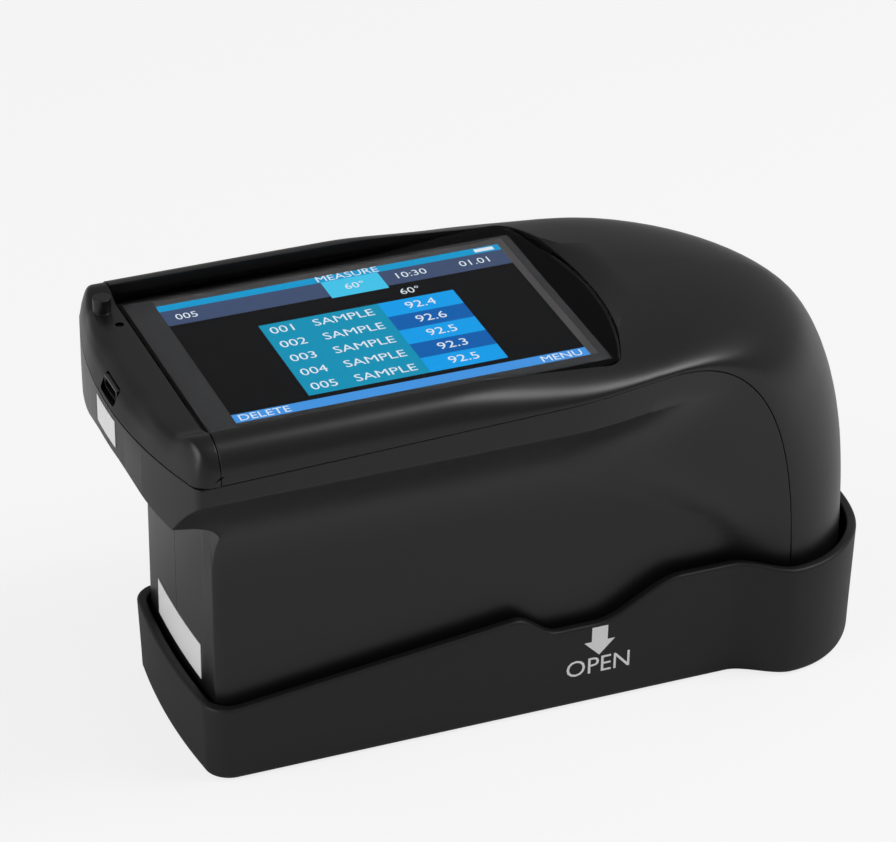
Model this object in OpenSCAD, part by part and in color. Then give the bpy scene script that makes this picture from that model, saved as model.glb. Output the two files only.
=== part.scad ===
// A hand-held gloss meter standing in its base holder.
// +X points to the rounded nose, +Y to the left side, +Z up. Millimetres.
// The frame's origin lies on the table, under the middle of the overall length and width.

/* [Body] */
// Width of each rail beside the display window
rail_w = 6.5; // [6:0.1:8]
// Width of the narrow grip body under the head
grip_w = 43.8; // [42:0.2:46]
// Width of the body at the nose, near the table
nose_w = 54.6; // [53:0.2:60]
// Front tip of the nose, from the origin
nose_tip = 75.5; // [74:0.5:78]
// Length of the head behind the display window
cap_l = 10.8; // [10:0.1:12]
// Rear wall of the grip body, from the origin
grip_rear = 67.8; // [66:0.2:69]
// Wall of the moulded shells
wall = 2.2; // [1.8:0.1:2.4]
// Height of the head's top over the table
top_z = 85.4; // [85:0.1:88]
// Joint gap between two moulded pieces
joint_gap = 0.2; // [0.1:0.05:0.3]

/* [Display] */
// Lit length of the screen
screen_l = 73.44; // [70:0.02:74]
// Lit width of the screen
screen_w = 48.96; // [46:0.02:50]
// Middle of the screen, behind the origin
screen_back = 25.8; // [25:0.1:26.5]
// Border of the screen module behind the lit screen
lcd_rear = 5.6; // [4:0.1:6]
// Border of the screen module in front of the lit screen
lcd_front = 2.96; // [2:0.02:4]
// Border of the screen module beside the lit screen
lcd_side = 2.52; // [1.5:0.02:2.7]
// Thickness of the screen module
lcd_t = 3.2; // [2.5:0.1:3.5]
// Border of the window behind the lit screen
window_rear = 7.28; // [7:0.02:9]
// Border of the window in front of the lit screen
window_front = 10.08; // [8:0.02:12]
// Border of the window beside the lit screen
window_side = 6.32; // [6:0.02:7]
// Thickness of the display window
lens_t = 1.2; // [1:0.1:1.5]
// Thickness of the foam seal under the window
seal_t = 0.5; // [0.3:0.1:0.8]
// Depth of the window under the head's top
lens_drop = 2.3; // [2:0.1:2.6]

/* [Optics] */
// Angle between the measuring beams and the vertical
beam_angle = 60; // [58:1:61]
// Place of the measuring spot in front of the origin
spot_x = 5; // [3:0.5:7]
// Length of the measuring opening
opening_l = 15; // [12:0.5:16]
// Width of the measuring opening
opening_w = 9; // [7:0.5:10]
// Bore of the beam channels
beam_d = 10; // [8:0.5:10.5]
// Clearance between the optical block and the grip's wall
block_gap = 3.7; // [2:0.1:5]
// Diameter of the light source
lamp_d = 5; // [3:0.5:6]

/* [Holder] */
// Wall of the base holder
holder_wall = 2.1; // [1.8:0.1:2.6]
// Clearance between the meter and the holder
holder_gap = 0.5; // [0.5:0.05:0.8]
// Floor of the base holder
holder_floor = 3; // [2.5:0.1:3.4]
// Thickness of the foam pad under the calibration tile
pad_t = 1.5; // [1:0.1:2]
// Thickness of the calibration tile
tile_t = 4; // [3:0.1:5]
// Length of the calibration tile
tile_l = 50; // [40:1:60]
// Width of the calibration tile
tile_w = 26; // [22:1:28]
// Height of the rim at the rear end
rim_rear = 17.2; // [15:0.2:19]
// Height of the rim beside the nose
rim_front = 26.5; // [24:0.5:29]
// Fall of the rim at the tip of the nose
rim_fall = 3.8; // [0:0.2:5]

/* [Controls] */
// Diameter of the power button
power_d = 3; // [2.8:0.1:3.2]
// Travel of the power button
power_travel = 0.4; // [0.2:0.05:0.5]
// Diameter of the measuring button
measure_d = 12.6; // [11:0.1:13]
// Travel of the measuring button
measure_travel = 0.6; // [0.3:0.05:0.8]
// Running clearance round a button
button_fit = 0.1; // [0.06:0.01:0.12]

/* [Electronics] */
// Thickness of the circuit boards
board_t = 1.6; // [1:0.2:1.6]
// Length of the main board
main_l = 74; // [66:1:76]
// Width of the main board
main_w = 54; // [48:1:56]
// Length of the battery
battery_l = 50; // [44:1:52]
// Clearance between the battery and the grip's wall
battery_gap = 3.2; // [3:0.1:5]
// Thickness of the battery
battery_t = 10; // [7:0.5:11]

/* [Hidden] */
$fn = 48;
big = 300;
eps = 0.01;

// Lengths and widths that follow from the screen and the grip
lcd_l = screen_l + lcd_rear + lcd_front;
lcd_w = screen_w + 2 * lcd_side;
lens_w = screen_w + 2 * window_side;
lens_rear = screen_back + screen_l / 2 + window_rear;
lens_tip = screen_l / 2 - screen_back + window_front;
lens_gap = 0.15;
rail_rear = lens_rear + lens_gap;
head_w = lens_w + 2 * rail_w;
head_rear = lens_rear + cap_l;
grip_in = grip_w / 2 - wall;
block_w = 2 * (grip_in - block_gap);
battery_w = 2 * (grip_in - battery_gap);

// Heights that stack up from the table
frame_z = holder_floor + pad_t;
meter_z = frame_z + tile_t;
lens_z = top_z - lens_drop;
seal_z = lens_z - lens_t - seal_t;
lcd_top = lens_z - lens_t - 0.1;
tub_t = 1.6;
tub_z = seal_z - tub_t;

// The parting line in side view: a sloping line, then a quarter superellipse down the nose
seam_rear_z = top_z - 8.4;
seam_front_z = top_z - 5.6;
seam_x = 20.7;
seam_base_z = 14;
seam_a = 34.8;
seam_b = seam_front_z - seam_base_z;
seam_n = 2.74;
seam_from = -head_rear - 4;

// The crest of the nose in side view: a superellipse quarter
crest_x = 20.9;
crest_z = 15.4;
crest_n = 3.7;
crest_fall = 0.3;
crest_a = nose_tip - crest_x;
crest_b = top_z - crest_fall - crest_z;

// How the sides swell from the grip to the head and close in towards the nose
flare_z = 42;
flare_top = seam_rear_z - 4;
flare_n = 2.5;
nose_low = 20;
nose_n = 1.96;
nose_top_w = head_w - 10.4;
nose_from = 1.5;
nose_to = 42.2;
head_bow = 5;
head_bow_y = 34;
grip_bow = 1.1;
head_bow_r = (head_bow_y * head_bow_y + head_bow * head_bow) / (2 * head_bow);
grip_bow_r = (grip_w * grip_w / 4 + grip_bow * grip_bow) / (2 * grip_bow);

function mix(a, b, t) = a + (b - a) * t;
function smooth(t) = let (u = max(0, min(1, t))) u * u * (3 - 2 * u);

// Height of the parting line over the point x
function seam_line(x) = mix(seam_rear_z, seam_front_z, (x + 74) / (seam_x + 74));

// Half width of the body at the point x and the height z
function grip_half(z) =
    grip_w / 2 + (head_w - grip_w) / 2 * pow(min(1, max(0, (z - flare_z) / (flare_top - flare_z))), flare_n);
function nose_half(z) =
    nose_w / 2 + (nose_top_w - nose_w) / 2 * pow(min(1, max(0, (z - nose_low) / (seam_front_z - nose_low))), nose_n);
function flare_from(z) = mix(foot_from, nose_from, smooth((z - rim_front) / 35));
function flare_to(z) = mix(nose_x, nose_to, smooth((z - rim_front) / 35));
function half_w(x, z) =
    mix(grip_half(z), nose_half(z), smooth((x - flare_from(z)) / (flare_to(z) - flare_from(z))));

function middle(ring) = [for (k = [0:2]) [for (p = ring) p[k]] * [for (p = ring) 1 / len(ring)]];
// A solid skin through rings of points that all have the same count, closed by a fan at each end
module loft(rings) {
    n = len(rings[0]);
    m = len(rings);
    polyhedron(
        points = concat([for (r = rings) for (p = r) p], [middle(rings[0]), middle(rings[m - 1])]),
        faces = concat(
            [for (i = [0:n - 1]) [m * n, i, (i + 1) % n]],
            [for (j = [0:m - 2]) for (i = [0:n - 1]) let (k = (i + 1) % n)
                [j * n + i, (j + 1) * n + i, (j + 1) * n + k]],
            [for (j = [0:m - 2]) for (i = [0:n - 1]) let (k = (i + 1) % n)
                [j * n + i, (j + 1) * n + k, j * n + k]],
            [for (i = [0:n - 1]) [m * n + 1, (m - 1) * n + (i + 1) % n, (m - 1) * n + i]]
        )
    );
}

// Upper shell: sections that fan out between the parting line and the crest
fan_turn = 15;
turn = concat([0, 0.02], [for (i = [1:fan_turn - 1]) i / fan_turn], [0.98, 1]);
function fan_places(flat) = concat([for (i = [0:flat - 1]) i / flat], [for (q = turn) 1 + q]);
function seam_turn(q, o) =
    let (k = 2 / seam_n)
    [seam_x + (seam_a - o) * pow(sin(90 * q), k), seam_base_z + (seam_b - o) * pow(max(0, cos(90 * q)), k)];
function seam_pt(t) = t <= 1
    ? let (x = mix(-rail_rear, seam_x, t)) [x, seam_line(x)]
    : seam_turn(t - 1, 0);
function crest_pt(t) = t <= 1
    ? [mix(-rail_rear, crest_x, t), top_z - crest_fall * smooth((t - 0.3) / 0.7)]
    : let (a = 90 * (t - 1), k = 2 / crest_n)
        [crest_x + crest_a * pow(sin(a), k), crest_z + crest_b * pow(max(0, cos(a)), k)];
corner_start = 6.2;
// The top starts as two rounded corners and turns into one arch over the nose
arch_from = 0.52;
arch_to = 1.2;
arch_n = 1.68;
function arch(t) = smooth((t - arch_from) / (arch_to - arch_from));
function fan_ring(s, c, w, cy, cz, p, o, under) =
    let (
        d = norm(c - s),
        u = (c - s) / d,
        n = 7,
        h = d - cz,
        near = concat(
            [[-(w - o), -under]],
            [for (j = [0:n]) [
                -(w - cy) - (cy - o) * pow(cos(90 * j / n), 2 / p),
                h + (cz - o) * pow(sin(90 * j / n), 2 / p)
            ]]
        ),
        far = [for (j = [len(near) - 1:-1:0]) [-near[j][0], near[j][1]]]
    )
    [for (p = concat(near, far)) [s[0] + u[0] * p[1], p[0], s[1] + u[1] * p[1]]];
function fan_corner_y(t, w) = mix(corner_start, w - eps, arch(t));
function fan_corner_z(t, d, dz) = min(d - 0.4, mix(corner_start * d / dz, d - 0.4, smooth((t - 1) / 0.3)));
function fan_at(t, o, under) =
    let (s = seam_pt(t), c = crest_pt(t), w = half_w(s[0], s[1]), d = norm(c - s))
    fan_ring(
        s, c, w, max(fan_corner_y(t, w), o + 0.4), max(fan_corner_z(t, d, abs(c[1] - s[1])), o + 0.4),
        mix(2, arch_n, arch(t) * (1 - smooth((t - 1.55) / 0.4))), o, under
    );
module fan(o, under, ext) {
    last = fan_at(2, o, under);
    first = fan_at(0, o, under);
    rings = concat(
        [[for (p = first) [p[0] - ext, p[1], p[2]]]],
        // An inner skin's sections lie between those of the outer one
        [for (t = fan_places(o > 0 ? 6 : 7)) fan_at(t, o, under)],
        [[for (p = last) [p[0], p[1], meter_z - ext]]]
    );
    loft([for (i = [len(rings) - 1:-1:0]) rings[i]]);
}

lens_corner = 4;
module lens_plan(o) {
    translate([-lens_rear - o, -lens_w / 2 - o]) square([lens_rear / 2, lens_w + 2 * o]);
    offset(r = lens_corner + o) offset(delta = -lens_corner) intersection() {
        translate([-lens_rear, -lens_w / 2]) square([lens_rear + lens_tip, lens_w]);
        translate([lens_tip - lens_r, 0]) circle(r = lens_r, $fn = 180);
    }
}
lens_r = 75;
bevel_tip = lens_tip + 4.5;
bevel_r = 48;

module lens_cut() {
    translate([0, 0, seal_z]) linear_extrude(30) lens_plan(lens_gap);
    intersection() {
        translate([bevel_tip - bevel_r, 0, lens_z])
            cylinder(h = 8, r1 = bevel_r - (bevel_tip - lens_tip), r2 = bevel_r + 10.5, $fn = 120);
        translate([-20, -lens_w / 2 - lens_gap, lens_z - 1]) cube([80, lens_w + 2 * lens_gap, 20]);
    }
}

lcd_x0 = -screen_back - screen_l / 2 - lcd_rear;
lcd_gap = 0.4;

module upper_shell() {
    color("#26272a") difference() {
        union() {
            difference() {
                fan(0, 0, 0);
                difference() {
                    // The hollow leaves the tub under the window standing
                    fan(wall, 3, 4);
                    translate([0, 0, tub_z]) linear_extrude(30) lens_plan(lens_gap + 1.2);
                }
            }
            for (y = [-1, 1], x = frame_screw_x) translate([x, y * frame_screw_y, lcd_under])
                cylinder(d = 4.8, h = tub_z - lcd_under + eps);
            for (y = [-1, 1], x = top_screw_x) translate([x, y * top_screw_y, lug_top])
                cylinder(d = 5.4, h = tub_z - lug_top + eps);
        }
        lens_cut();
        translate([-rail_rear - 1, -lens_w / 2 - lens_gap, seal_z])
            cube([rail_rear + 1 - lens_rear, lens_w + 2 * lens_gap, 30]);
        translate([lcd_x0 - lcd_gap, -lcd_w / 2 - lcd_gap, tub_z - 1])
            cube([lcd_l + 2 * lcd_gap, lcd_w + 2 * lcd_gap, 20]);
        for (y = [-1, 1], x = frame_screw_x) translate([x, y * frame_screw_y, lcd_under - 1])
            cylinder(d = screw_d, h = 4);
        for (y = [-1, 1], x = top_screw_x) translate([x, y * top_screw_y, lug_top - 1])
            cylinder(d = screw_d, h = tub_z - lug_top + 1.4);
    }
}

screw_d = 2;
lcd_under = lcd_top - lcd_t;
frame_screw_x = [-screen_back - 24.2, -screen_back + 23.8];
frame_screw_y = lens_w / 2 - 0.4;
top_screw_x = [-lens_rear + 9.8, lens_tip - 16];
top_screw_y = lens_w / 2 + 0.8;
lug_top = seam_rear_z - 0.8;

// Rear cap: level with the window in its middle and with the rails at its two shoulders
cap_top = lens_z + 0.3;
cap_front = rail_rear + joint_gap;
shoulder_rise = top_z - 0.2 - cap_top;
function cap_shoulder(y) = shoulder_rise * smooth((abs(y) - lens_w / 2 + 5) / 6);
function head_sag(y) = head_rear - (head_bow_r - sqrt(head_bow_r * head_bow_r - y * y));
cap_profile = [[0, 0], [1.2, 0.46], [2.2, 0.7], [3.1, 0.86], [4.2, 0.96], [5.6, 1]];
function cap_ridge(y) = mix(1, 0.5, smooth((abs(y) - 8) / 14));
function cap_end(y, r) = let (e = max(0, abs(y) - (head_w / 2 - r))) r - sqrt(max(0, r * r - e * e));
function cap_ring(y, o) =
    let (
        r = head_sag(y) - cap_end(y, head_corner) - o,
        past = o > 0 ? 3 : 0,
        top = cap_top + cap_shoulder(y) - cap_end(y, corner_start) - o
    )
    concat(
        [[past - cap_front, y, seam_rear_z - past], [past - cap_front, y, top]],
        [for (i = [5:-1:0]) [cap_ridge(y) * cap_profile[i][0] - r, y, mix(seam_rear_z, top, cap_profile[i][1])]],
        o > 0 ? [[-r, y, seam_rear_z - past]] : []
    );
module cap_solid(o) {
    w = head_w / 2 - o - (o > 0 ? 0.4 : 0);
    n = 14;
    loft([for (i = [n:-1:-n]) cap_ring(w * sin(90 * i / n), o)]);
}
power_x = -lens_rear - 3.7;
power_y = head_w / 2 - 12.5;
led_x = -lens_rear - 2.2;
led_y = power_y - 6.6;
led_d = 1.8;
usb_y = 1.4;
io_z = seam_rear_z + 1.1;
io_t = 1;
usb_w = 7.5;
usb_h = 2.6;
usb_z = io_z + usb_h / 2;
port_w = 8.6;
port_h = 3.6;
power_seat = cap_top - 3.3;
power_flange_d = power_d + 0.9;
cap_screw_x = -lens_rear - 4.7;
cap_screw_y = [-8.5, 11];

module rear_cap() {
    color("#2b2c2f") difference() {
        union() {
            difference() {
                cap_solid(0);
                cap_solid(wall);
            }
            intersection() {
                cap_solid(0);
                union() {
                    translate([power_x, power_y, power_seat]) cylinder(d = power_d + 2.6, h = 10);
                    for (y = cap_screw_y) translate([cap_screw_x, y, io_z + 0.05]) cylinder(d = 4.4, h = 3.6);
                }
            }
        }
        translate([power_x, power_y, cap_top - 0.7]) cylinder(d = power_d + 0.7, h = 3);
        translate([power_x, power_y, io_z]) cylinder(d = power_flange_d + 0.4, h = power_seat - io_z);
        translate([power_x, power_y, cap_top - 6]) cylinder(d = power_d + 2 * button_fit, h = 8);
        translate([led_x, led_y, cap_top - 6]) cylinder(d = led_d, h = 8);
        translate([-head_rear - 2, usb_y - port_w / 2, usb_z - port_h / 2]) cube([8, port_w, port_h]);
        for (y = cap_screw_y) translate([cap_screw_x, y, io_z - 1]) cylinder(d = screw_d, h = 4);
    }
}

// Lower shells: the flared head underside, the hook and the grip body
head_corner = 2.5;
foot_rear_r = 4;
foot_from = 43;
hook_z = 64.5;
hook_low = 60;
module side_region() {
    // Everything under and behind the parting line, down to the base
    polygon(concat(
        [[seam_from, meter_z], [seam_from, seam_line(seam_from) - joint_gap]],
        [for (q = turn) seam_turn(q, joint_gap)],
        [[seam_x + seam_a - joint_gap, meter_z]]
    ));
}
module hook_region(o) {
    // Side view of the head's underside at the rear, with the grip's rear wall below it
    polygon([
        [-head_rear - 5, 100], [-head_rear - 5, hook_z + 5 + o], [-head_rear + 0.4 + o, hook_z + 3 + o],
        [-head_rear + 1.4 + o, hook_z + 0.6 + o], [-head_rear + 3.4, hook_z - 0.8 + o],
        [-head_rear + 8.5, hook_low + 2.2 + o], [-grip_rear - 0.6 + o, hook_low + o],
        [-grip_rear + 1.4 + o, hook_low - 3 + o], [-grip_rear + 2.2 + o, hook_low - 7],
        [-grip_rear + 2.2 + o, 40], [100, 40], [100, 100]
    ]);
}
module head_plan(o) {
    offset(r = head_corner) offset(delta = -head_corner) intersection() {
        translate([-head_rear - 2, -head_w / 2 - 0.4 + o]) square([big, head_w + 0.8 - 2 * o]);
        translate([head_bow_r - head_rear, 0]) circle(r = head_bow_r - o, $fn = 120);
    }
}
module grip_plan(o) {
    intersection() {
        translate([grip_bow_r - grip_rear, 0]) circle(r = grip_bow_r - o, $fn = 180);
        translate([-grip_rear - 2, -big / 2]) square([200, big]);
    }
}
side_x = concat(
    [-head_rear - 6, -grip_rear], [for (i = [1:5]) mix(-grip_rear, -grip_rear + foot_rear_r, pow(i / 5, 2))],
    [for (i = [0:7]) mix(nose_from - 1, foot_from - 1, i / 7)],
    [for (i = [0:6]) mix(foot_from, seam_x + seam_a + 1, i / 6)]
);
// How far the rounded rear corners of the grip stand back from its side
function corner_cut(x, z, o) =
    let (r = foot_rear_r - o, e = min(r, max(0, foot_rear_r - x - grip_rear)))
    (r - sqrt(r * r - e * e)) * (1 - smooth((z - hook_low + 10) / 10));
function side_ring(x, o) =
    let (
        z0 = meter_z - 5,
        z1 = seam_front_z + 4,
        zs = concat([z0], [for (i = [0:4]) mix(rim_front - 6, flare_z - 3, i / 4)],
            [for (i = [0:9]) mix(flare_z, flare_top, i / 9)], [z1]),
        n = len(zs)
    )
    concat(
        [for (z = zs) [x, -(half_w(x, z) - o - corner_cut(x, z, o)), z]],
        [for (i = [n - 1:-1:0]) [x, half_w(x, zs[i]) - o - corner_cut(x, zs[i], o), zs[i]]]
    );
module side_loft(o) {
    loft([for (i = [len(side_x) - 1:-1:0]) side_ring(side_x[i], o)]);
}
// The lower body without its parting line, at a depth o under the surface
module side_body(o) {
    intersection() {
        side_loft(o);
        union() {
            intersection() {
                rotate([90, 0, 0]) linear_extrude(big, center = true) hook_region(o);
                translate([0, 0, 38]) linear_extrude(60) head_plan(o);
            }
            translate([0, 0, -20]) linear_extrude(hook_low + 20) grip_plan(o);
        }
    }
}
shell_screw_at = [[-58.5, 18], [50.4, 15.2]];
cap_lug_top = seam_rear_z - 0.4;
shell_boss_d = 6.4;
lug_w = 8;
module lower_half(side) {
    // side is 1 for the left shell and -1 for the right shell
    difference() {
        union() {
            difference() {
                intersection() {
                    side_body(0);
                    rotate([90, 0, 0]) linear_extrude(big, center = true) side_region();
                }
                side_body(wall);
            }
            intersection() {
                side_body(wall / 2);
                translate([-100, -50, meter_z + 0.5]) cube([200, 100, 100]);
                union() {
                    for (p = shell_screw_at) translate([p[0], 0, p[1]]) rotate([90, 0, 0])
                        cylinder(d = shell_boss_d, h = big, center = true);
                    for (x = top_screw_x) translate([x - lug_w / 2, -big / 2, lug_top - lug_t])
                        cube([lug_w, big, lug_t]);
                    for (y = cap_screw_y) translate([-head_rear, y - 3, cap_lug_top - lug_t])
                        cube([head_rear + cap_screw_x + 3, 6, lug_t]);
                    for (x = base_screw_x, m = [-1, 1]) translate([x[0], m * x[1], base_top])
                        cylinder(d = boss_d, h = 6);
                    for (x = tray_screw_x, m = [-1, 1]) translate([x, m * tray_screw_y, tray_z - 6])
                        cylinder(d = boss_d, h = 6 - 0.05);
                    if (side > 0) for (m = [-1, 1])
                        translate([measure_x + m * measure_post, key_board_y + board_t, measure_z])
                            rotate([-90, 0, 0]) cylinder(d = 4, h = 20);
                }
            }
        }
        translate([-big / 2, side > 0 ? -big + joint_gap / 4 : -joint_gap / 4, -10]) cube([big, big, big]);
        for (x = top_screw_x) translate([x - lug_w, -top_screw_y + 3.8, lug_top - 4])
            cube([2 * lug_w, 2 * top_screw_y - 7.6, 5]);
        for (x = top_screw_x, y = [-1, 1]) translate([x, y * top_screw_y, lug_top - 5])
            cylinder(d = screw_d + 0.4, h = 8);
        for (y = cap_screw_y) translate([cap_screw_x, y, cap_lug_top - 5]) cylinder(d = screw_d + 0.4, h = 8);
        for (x = base_screw_x, m = [-1, 1]) translate([x[0], m * x[1], base_top - 1])
            cylinder(d = screw_d, h = 6);
        for (x = tray_screw_x, m = [-1, 1]) translate([x, m * tray_screw_y, tray_z - 5])
            cylinder(d = screw_d, h = 6);
        for (p = shell_screw_at) translate([p[0], side > 0 ? 30 : 0, p[1]]) rotate([90, 0, 0])
            cylinder(d = side > 0 ? screw_d + 0.4 : screw_d, h = side > 0 ? 40 : 10);
        if (side > 0) {
            for (p = shell_screw_at) translate([p[0], 30 + screw_seat, p[1]]) rotate([90, 0, 0])
                cylinder(d = head_d + 0.4, h = 30);
            translate([measure_x, screw_seat, measure_z]) rotate([-90, 0, 0])
                cylinder(d = measure_d + 2 * button_fit, h = 20);
            for (m = [-1, 1]) translate([measure_x + m * measure_post, key_board_y, measure_z])
                rotate([-90, 0, 0]) cylinder(d = screw_d, h = 5);
        }
    }
}
screw_seat = grip_w / 2 - 9.9;
head_d = 3.8;
head_h = 1.6;
head_sink = 0.2;
measure_x = 17;
measure_z = 50;
module left_shell() {
    color("#1d1e20") lower_half(1);
}
module right_shell() {
    color("#1d1e20") lower_half(-1);
}

lug_t = 2.7;
base_t = 2.5;
base_top = meter_z + base_t;
post_side = grip_in - 2.5;
base_screw_x = [[-52, post_side], [43, post_side]];
tray_screw_x = [-58, 0];
tray_screw_y = post_side;
boss_d = 5.8;
tray_z = 44.5;
tray_t = 1.5;
measure_post = 10.4;
key_board_y = grip_w / 2 - 8.6;

// Outline of the base, seen from above, at a distance o outside the body
nose_x = seam_x + seam_a;
nose_a = nose_tip - nose_x;
function foot_outline(o) =
    let (
        w = grip_w / 2 + o,
        rr = foot_rear_r + o * 0.5,
        bow = grip_bow + o * 0.3,
        rear = [for (i = [0:6]) let (y = (w - rr) * (1 - i / 3))
            [-grip_rear - o + bow * (y / w) * (y / w), y]],
        cx = rear[6][0] + rr,
        turn = [for (i = [1:5]) [cx - rr * cos(18 * i), -(w - rr) - rr * sin(18 * i)]],
        side = [for (i = [0:8]) let (x = mix(foot_from, nose_x, i / 8)) [x, -half_w(x, meter_z) - o]],
        nose = [for (i = [1:15]) [nose_x + (nose_a + o) * sin(6 * i), -(nose_w / 2 + o) * cos(6 * i)]],
        half = concat(turn, side, nose)
    )
    concat(rear, half, [for (i = [len(half) - 2:-1:0]) [half[i][0], -half[i][1]]]);
function foot_ring(o, z) = [for (p = foot_outline(o)) [p[0], p[1], z]];
draft = tan(2.5);
module foot_loft(o, levels) {
    loft([for (l = levels) foot_ring(o + l[0], l[1])]);
}

// Height of the holder's wavy rim over the point x
dip_z = 19.2;
crest_rim = rim_front + 0.4;
function rim(x) =
    x < -4 ? mix(rim_rear, rim_front - 2.4, max(0, (x + 63) / 59))
    : x < 5 ? mix(rim_front - 2.4, dip_z, smooth((x + 4) / 9))
    : x < 13 ? dip_z
    : mix(dip_z, crest_rim, smooth((x - 13) / 19)) - smooth((x - 44) / 12) - rim_fall * smooth((x - 68) / 14);
module rim_region() {
    polygon(concat(
        [[-100, -1], [-100, rim_rear]],
        [for (x = [-63, -40, -20]) [x, rim(x)]],
        [for (x = [-6:1.5:34.5]) [x, rim(x)]],
        [for (x = [44:3:83]) [x, rim(x)]],
        [[100, -1]]
    ));
}
module holder_shell() {
    out = holder_gap + holder_wall;
    color("#1a1b1c") difference() {
        intersection() {
            foot_loft(out, [[-1.2, 0], [-0.4, 0.35], [0.1, 1.4], [30 * draft, 30]]);
            rotate([90, 0, 0]) linear_extrude(big, center = true) rim_region();
        }
        foot_loft(holder_gap, [[holder_floor * draft, holder_floor], [31 * draft, 31]]);
        for (p = frame_screws) translate([p[0], p[1], 1]) cylinder(d = screw_d, h = 6);
    }
}

// Calibration tile on its pad, held by a screwed frame
plate_l0 = 48;
plate_l1 = 44;
plate_w = grip_w - 5.8;
frame_screws = [for (x = [spot_x - plate_l0 + 5, spot_x + plate_l1 - 5], y = [-1, 1]) [x, y * (plate_w / 2 - 5)]];
module tile_block(l, w, z, h) {
    translate([spot_x - l / 2, -w / 2, z]) cube([l, w, h]);
}
module tile_frame() {
    color("#3a3b3d") difference() {
        translate([spot_x - plate_l0, -plate_w / 2, holder_floor])
            cube([plate_l0 + plate_l1, plate_w, meter_z - holder_floor]);
        tile_block(tile_l + 0.3, tile_w + 0.3, holder_floor - 1, 20);
        for (p = frame_screws) translate([p[0], p[1], holder_floor - 1]) cylinder(d = screw_d + 0.4, h = 20);
        for (p = frame_screws) translate([p[0], p[1], meter_z - head_h - 0.3]) cylinder(d = head_d + 0.4, h = 20);
    }
}
module tile_pad() {
    color("#55575a") tile_block(tile_l, tile_w, holder_floor, pad_t);
}
module calibration_tile() {
    color("#0a0a0b") tile_block(tile_l, tile_w, frame_z, tile_t);
}

// A pan-head screw with its head's seat at the origin, pointing up
module screw(l) {
    difference() {
        union() {
            cylinder(d = screw_d - 0.1, h = l, $fn = 24);
            translate([0, 0, -head_h]) cylinder(d = head_d, h = head_h, $fn = 32);
        }
        translate([0, 0, -head_h - 1]) cylinder(d = 1.6, h = 1.8, $fn = 6);
    }
}
module tile_frame_screws() {
    color("#9a9ca0") for (p = frame_screws)
        translate([p[0], p[1], meter_z - head_h - 0.3]) rotate([180, 0, 0]) screw(5.2);
}

// Base plate of the meter with its measuring opening
module oblong(l, w, h) {
    hull() for (m = [-1, 1]) translate([m * (l - w) / 2, 0, 0]) cylinder(d = w, h = h);
}
ring_t = 1;
ring_w = 2;
block_screws = [for (x = [-18, 18], y = [-1, 1]) [spot_x + x, y * (block_w / 2 - 5)]];
module base_plate() {
    color("#4b4d50") difference() {
        translate([0, 0, meter_z]) linear_extrude(base_t) polygon(foot_outline(-wall - 0.45));
        translate([spot_x - opening_l / 2, -opening_w / 2, meter_z - 1]) cube([opening_l, opening_w, 10]);
        translate([spot_x - opening_l / 2 - ring_w - 0.1, -opening_w / 2 - ring_w - 0.1, meter_z - 1])
            cube([opening_l + 2 * ring_w + 0.2, opening_w + 2 * ring_w + 0.2, 1 + ring_t]);
        for (x = base_screw_x, m = [-1, 1]) translate([x[0], m * x[1], meter_z - 1]) {
            cylinder(d = screw_d + 0.4, h = 10);
            cylinder(d = head_d + 0.4, h = 1 + head_h + head_sink);
        }
        for (p = block_screws) translate([p[0], p[1], meter_z - 1]) {
            cylinder(d = screw_d + 0.4, h = 10);
            cylinder(d = head_d + 0.4, h = 1 + head_h + head_sink);
        }
    }
}
module opening_ring() {
    color("#18181a") difference() {
        translate([spot_x - opening_l / 2 - ring_w, -opening_w / 2 - ring_w, meter_z])
            cube([opening_l + 2 * ring_w, opening_w + 2 * ring_w, ring_t - 0.05]);
        translate([spot_x - opening_l / 2, -opening_w / 2, meter_z - 1]) cube([opening_l, opening_w, 10]);
    }
}
module base_plate_screws() {
    color("#9a9ca0") for (x = base_screw_x, m = [-1, 1])
        translate([x[0], m * x[1], meter_z + head_h + head_sink]) screw(5);
}
module optical_block_screws() {
    color("#9a9ca0") for (p = block_screws) translate([p[0], p[1], meter_z + head_h + head_sink]) screw(6);
}

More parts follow.
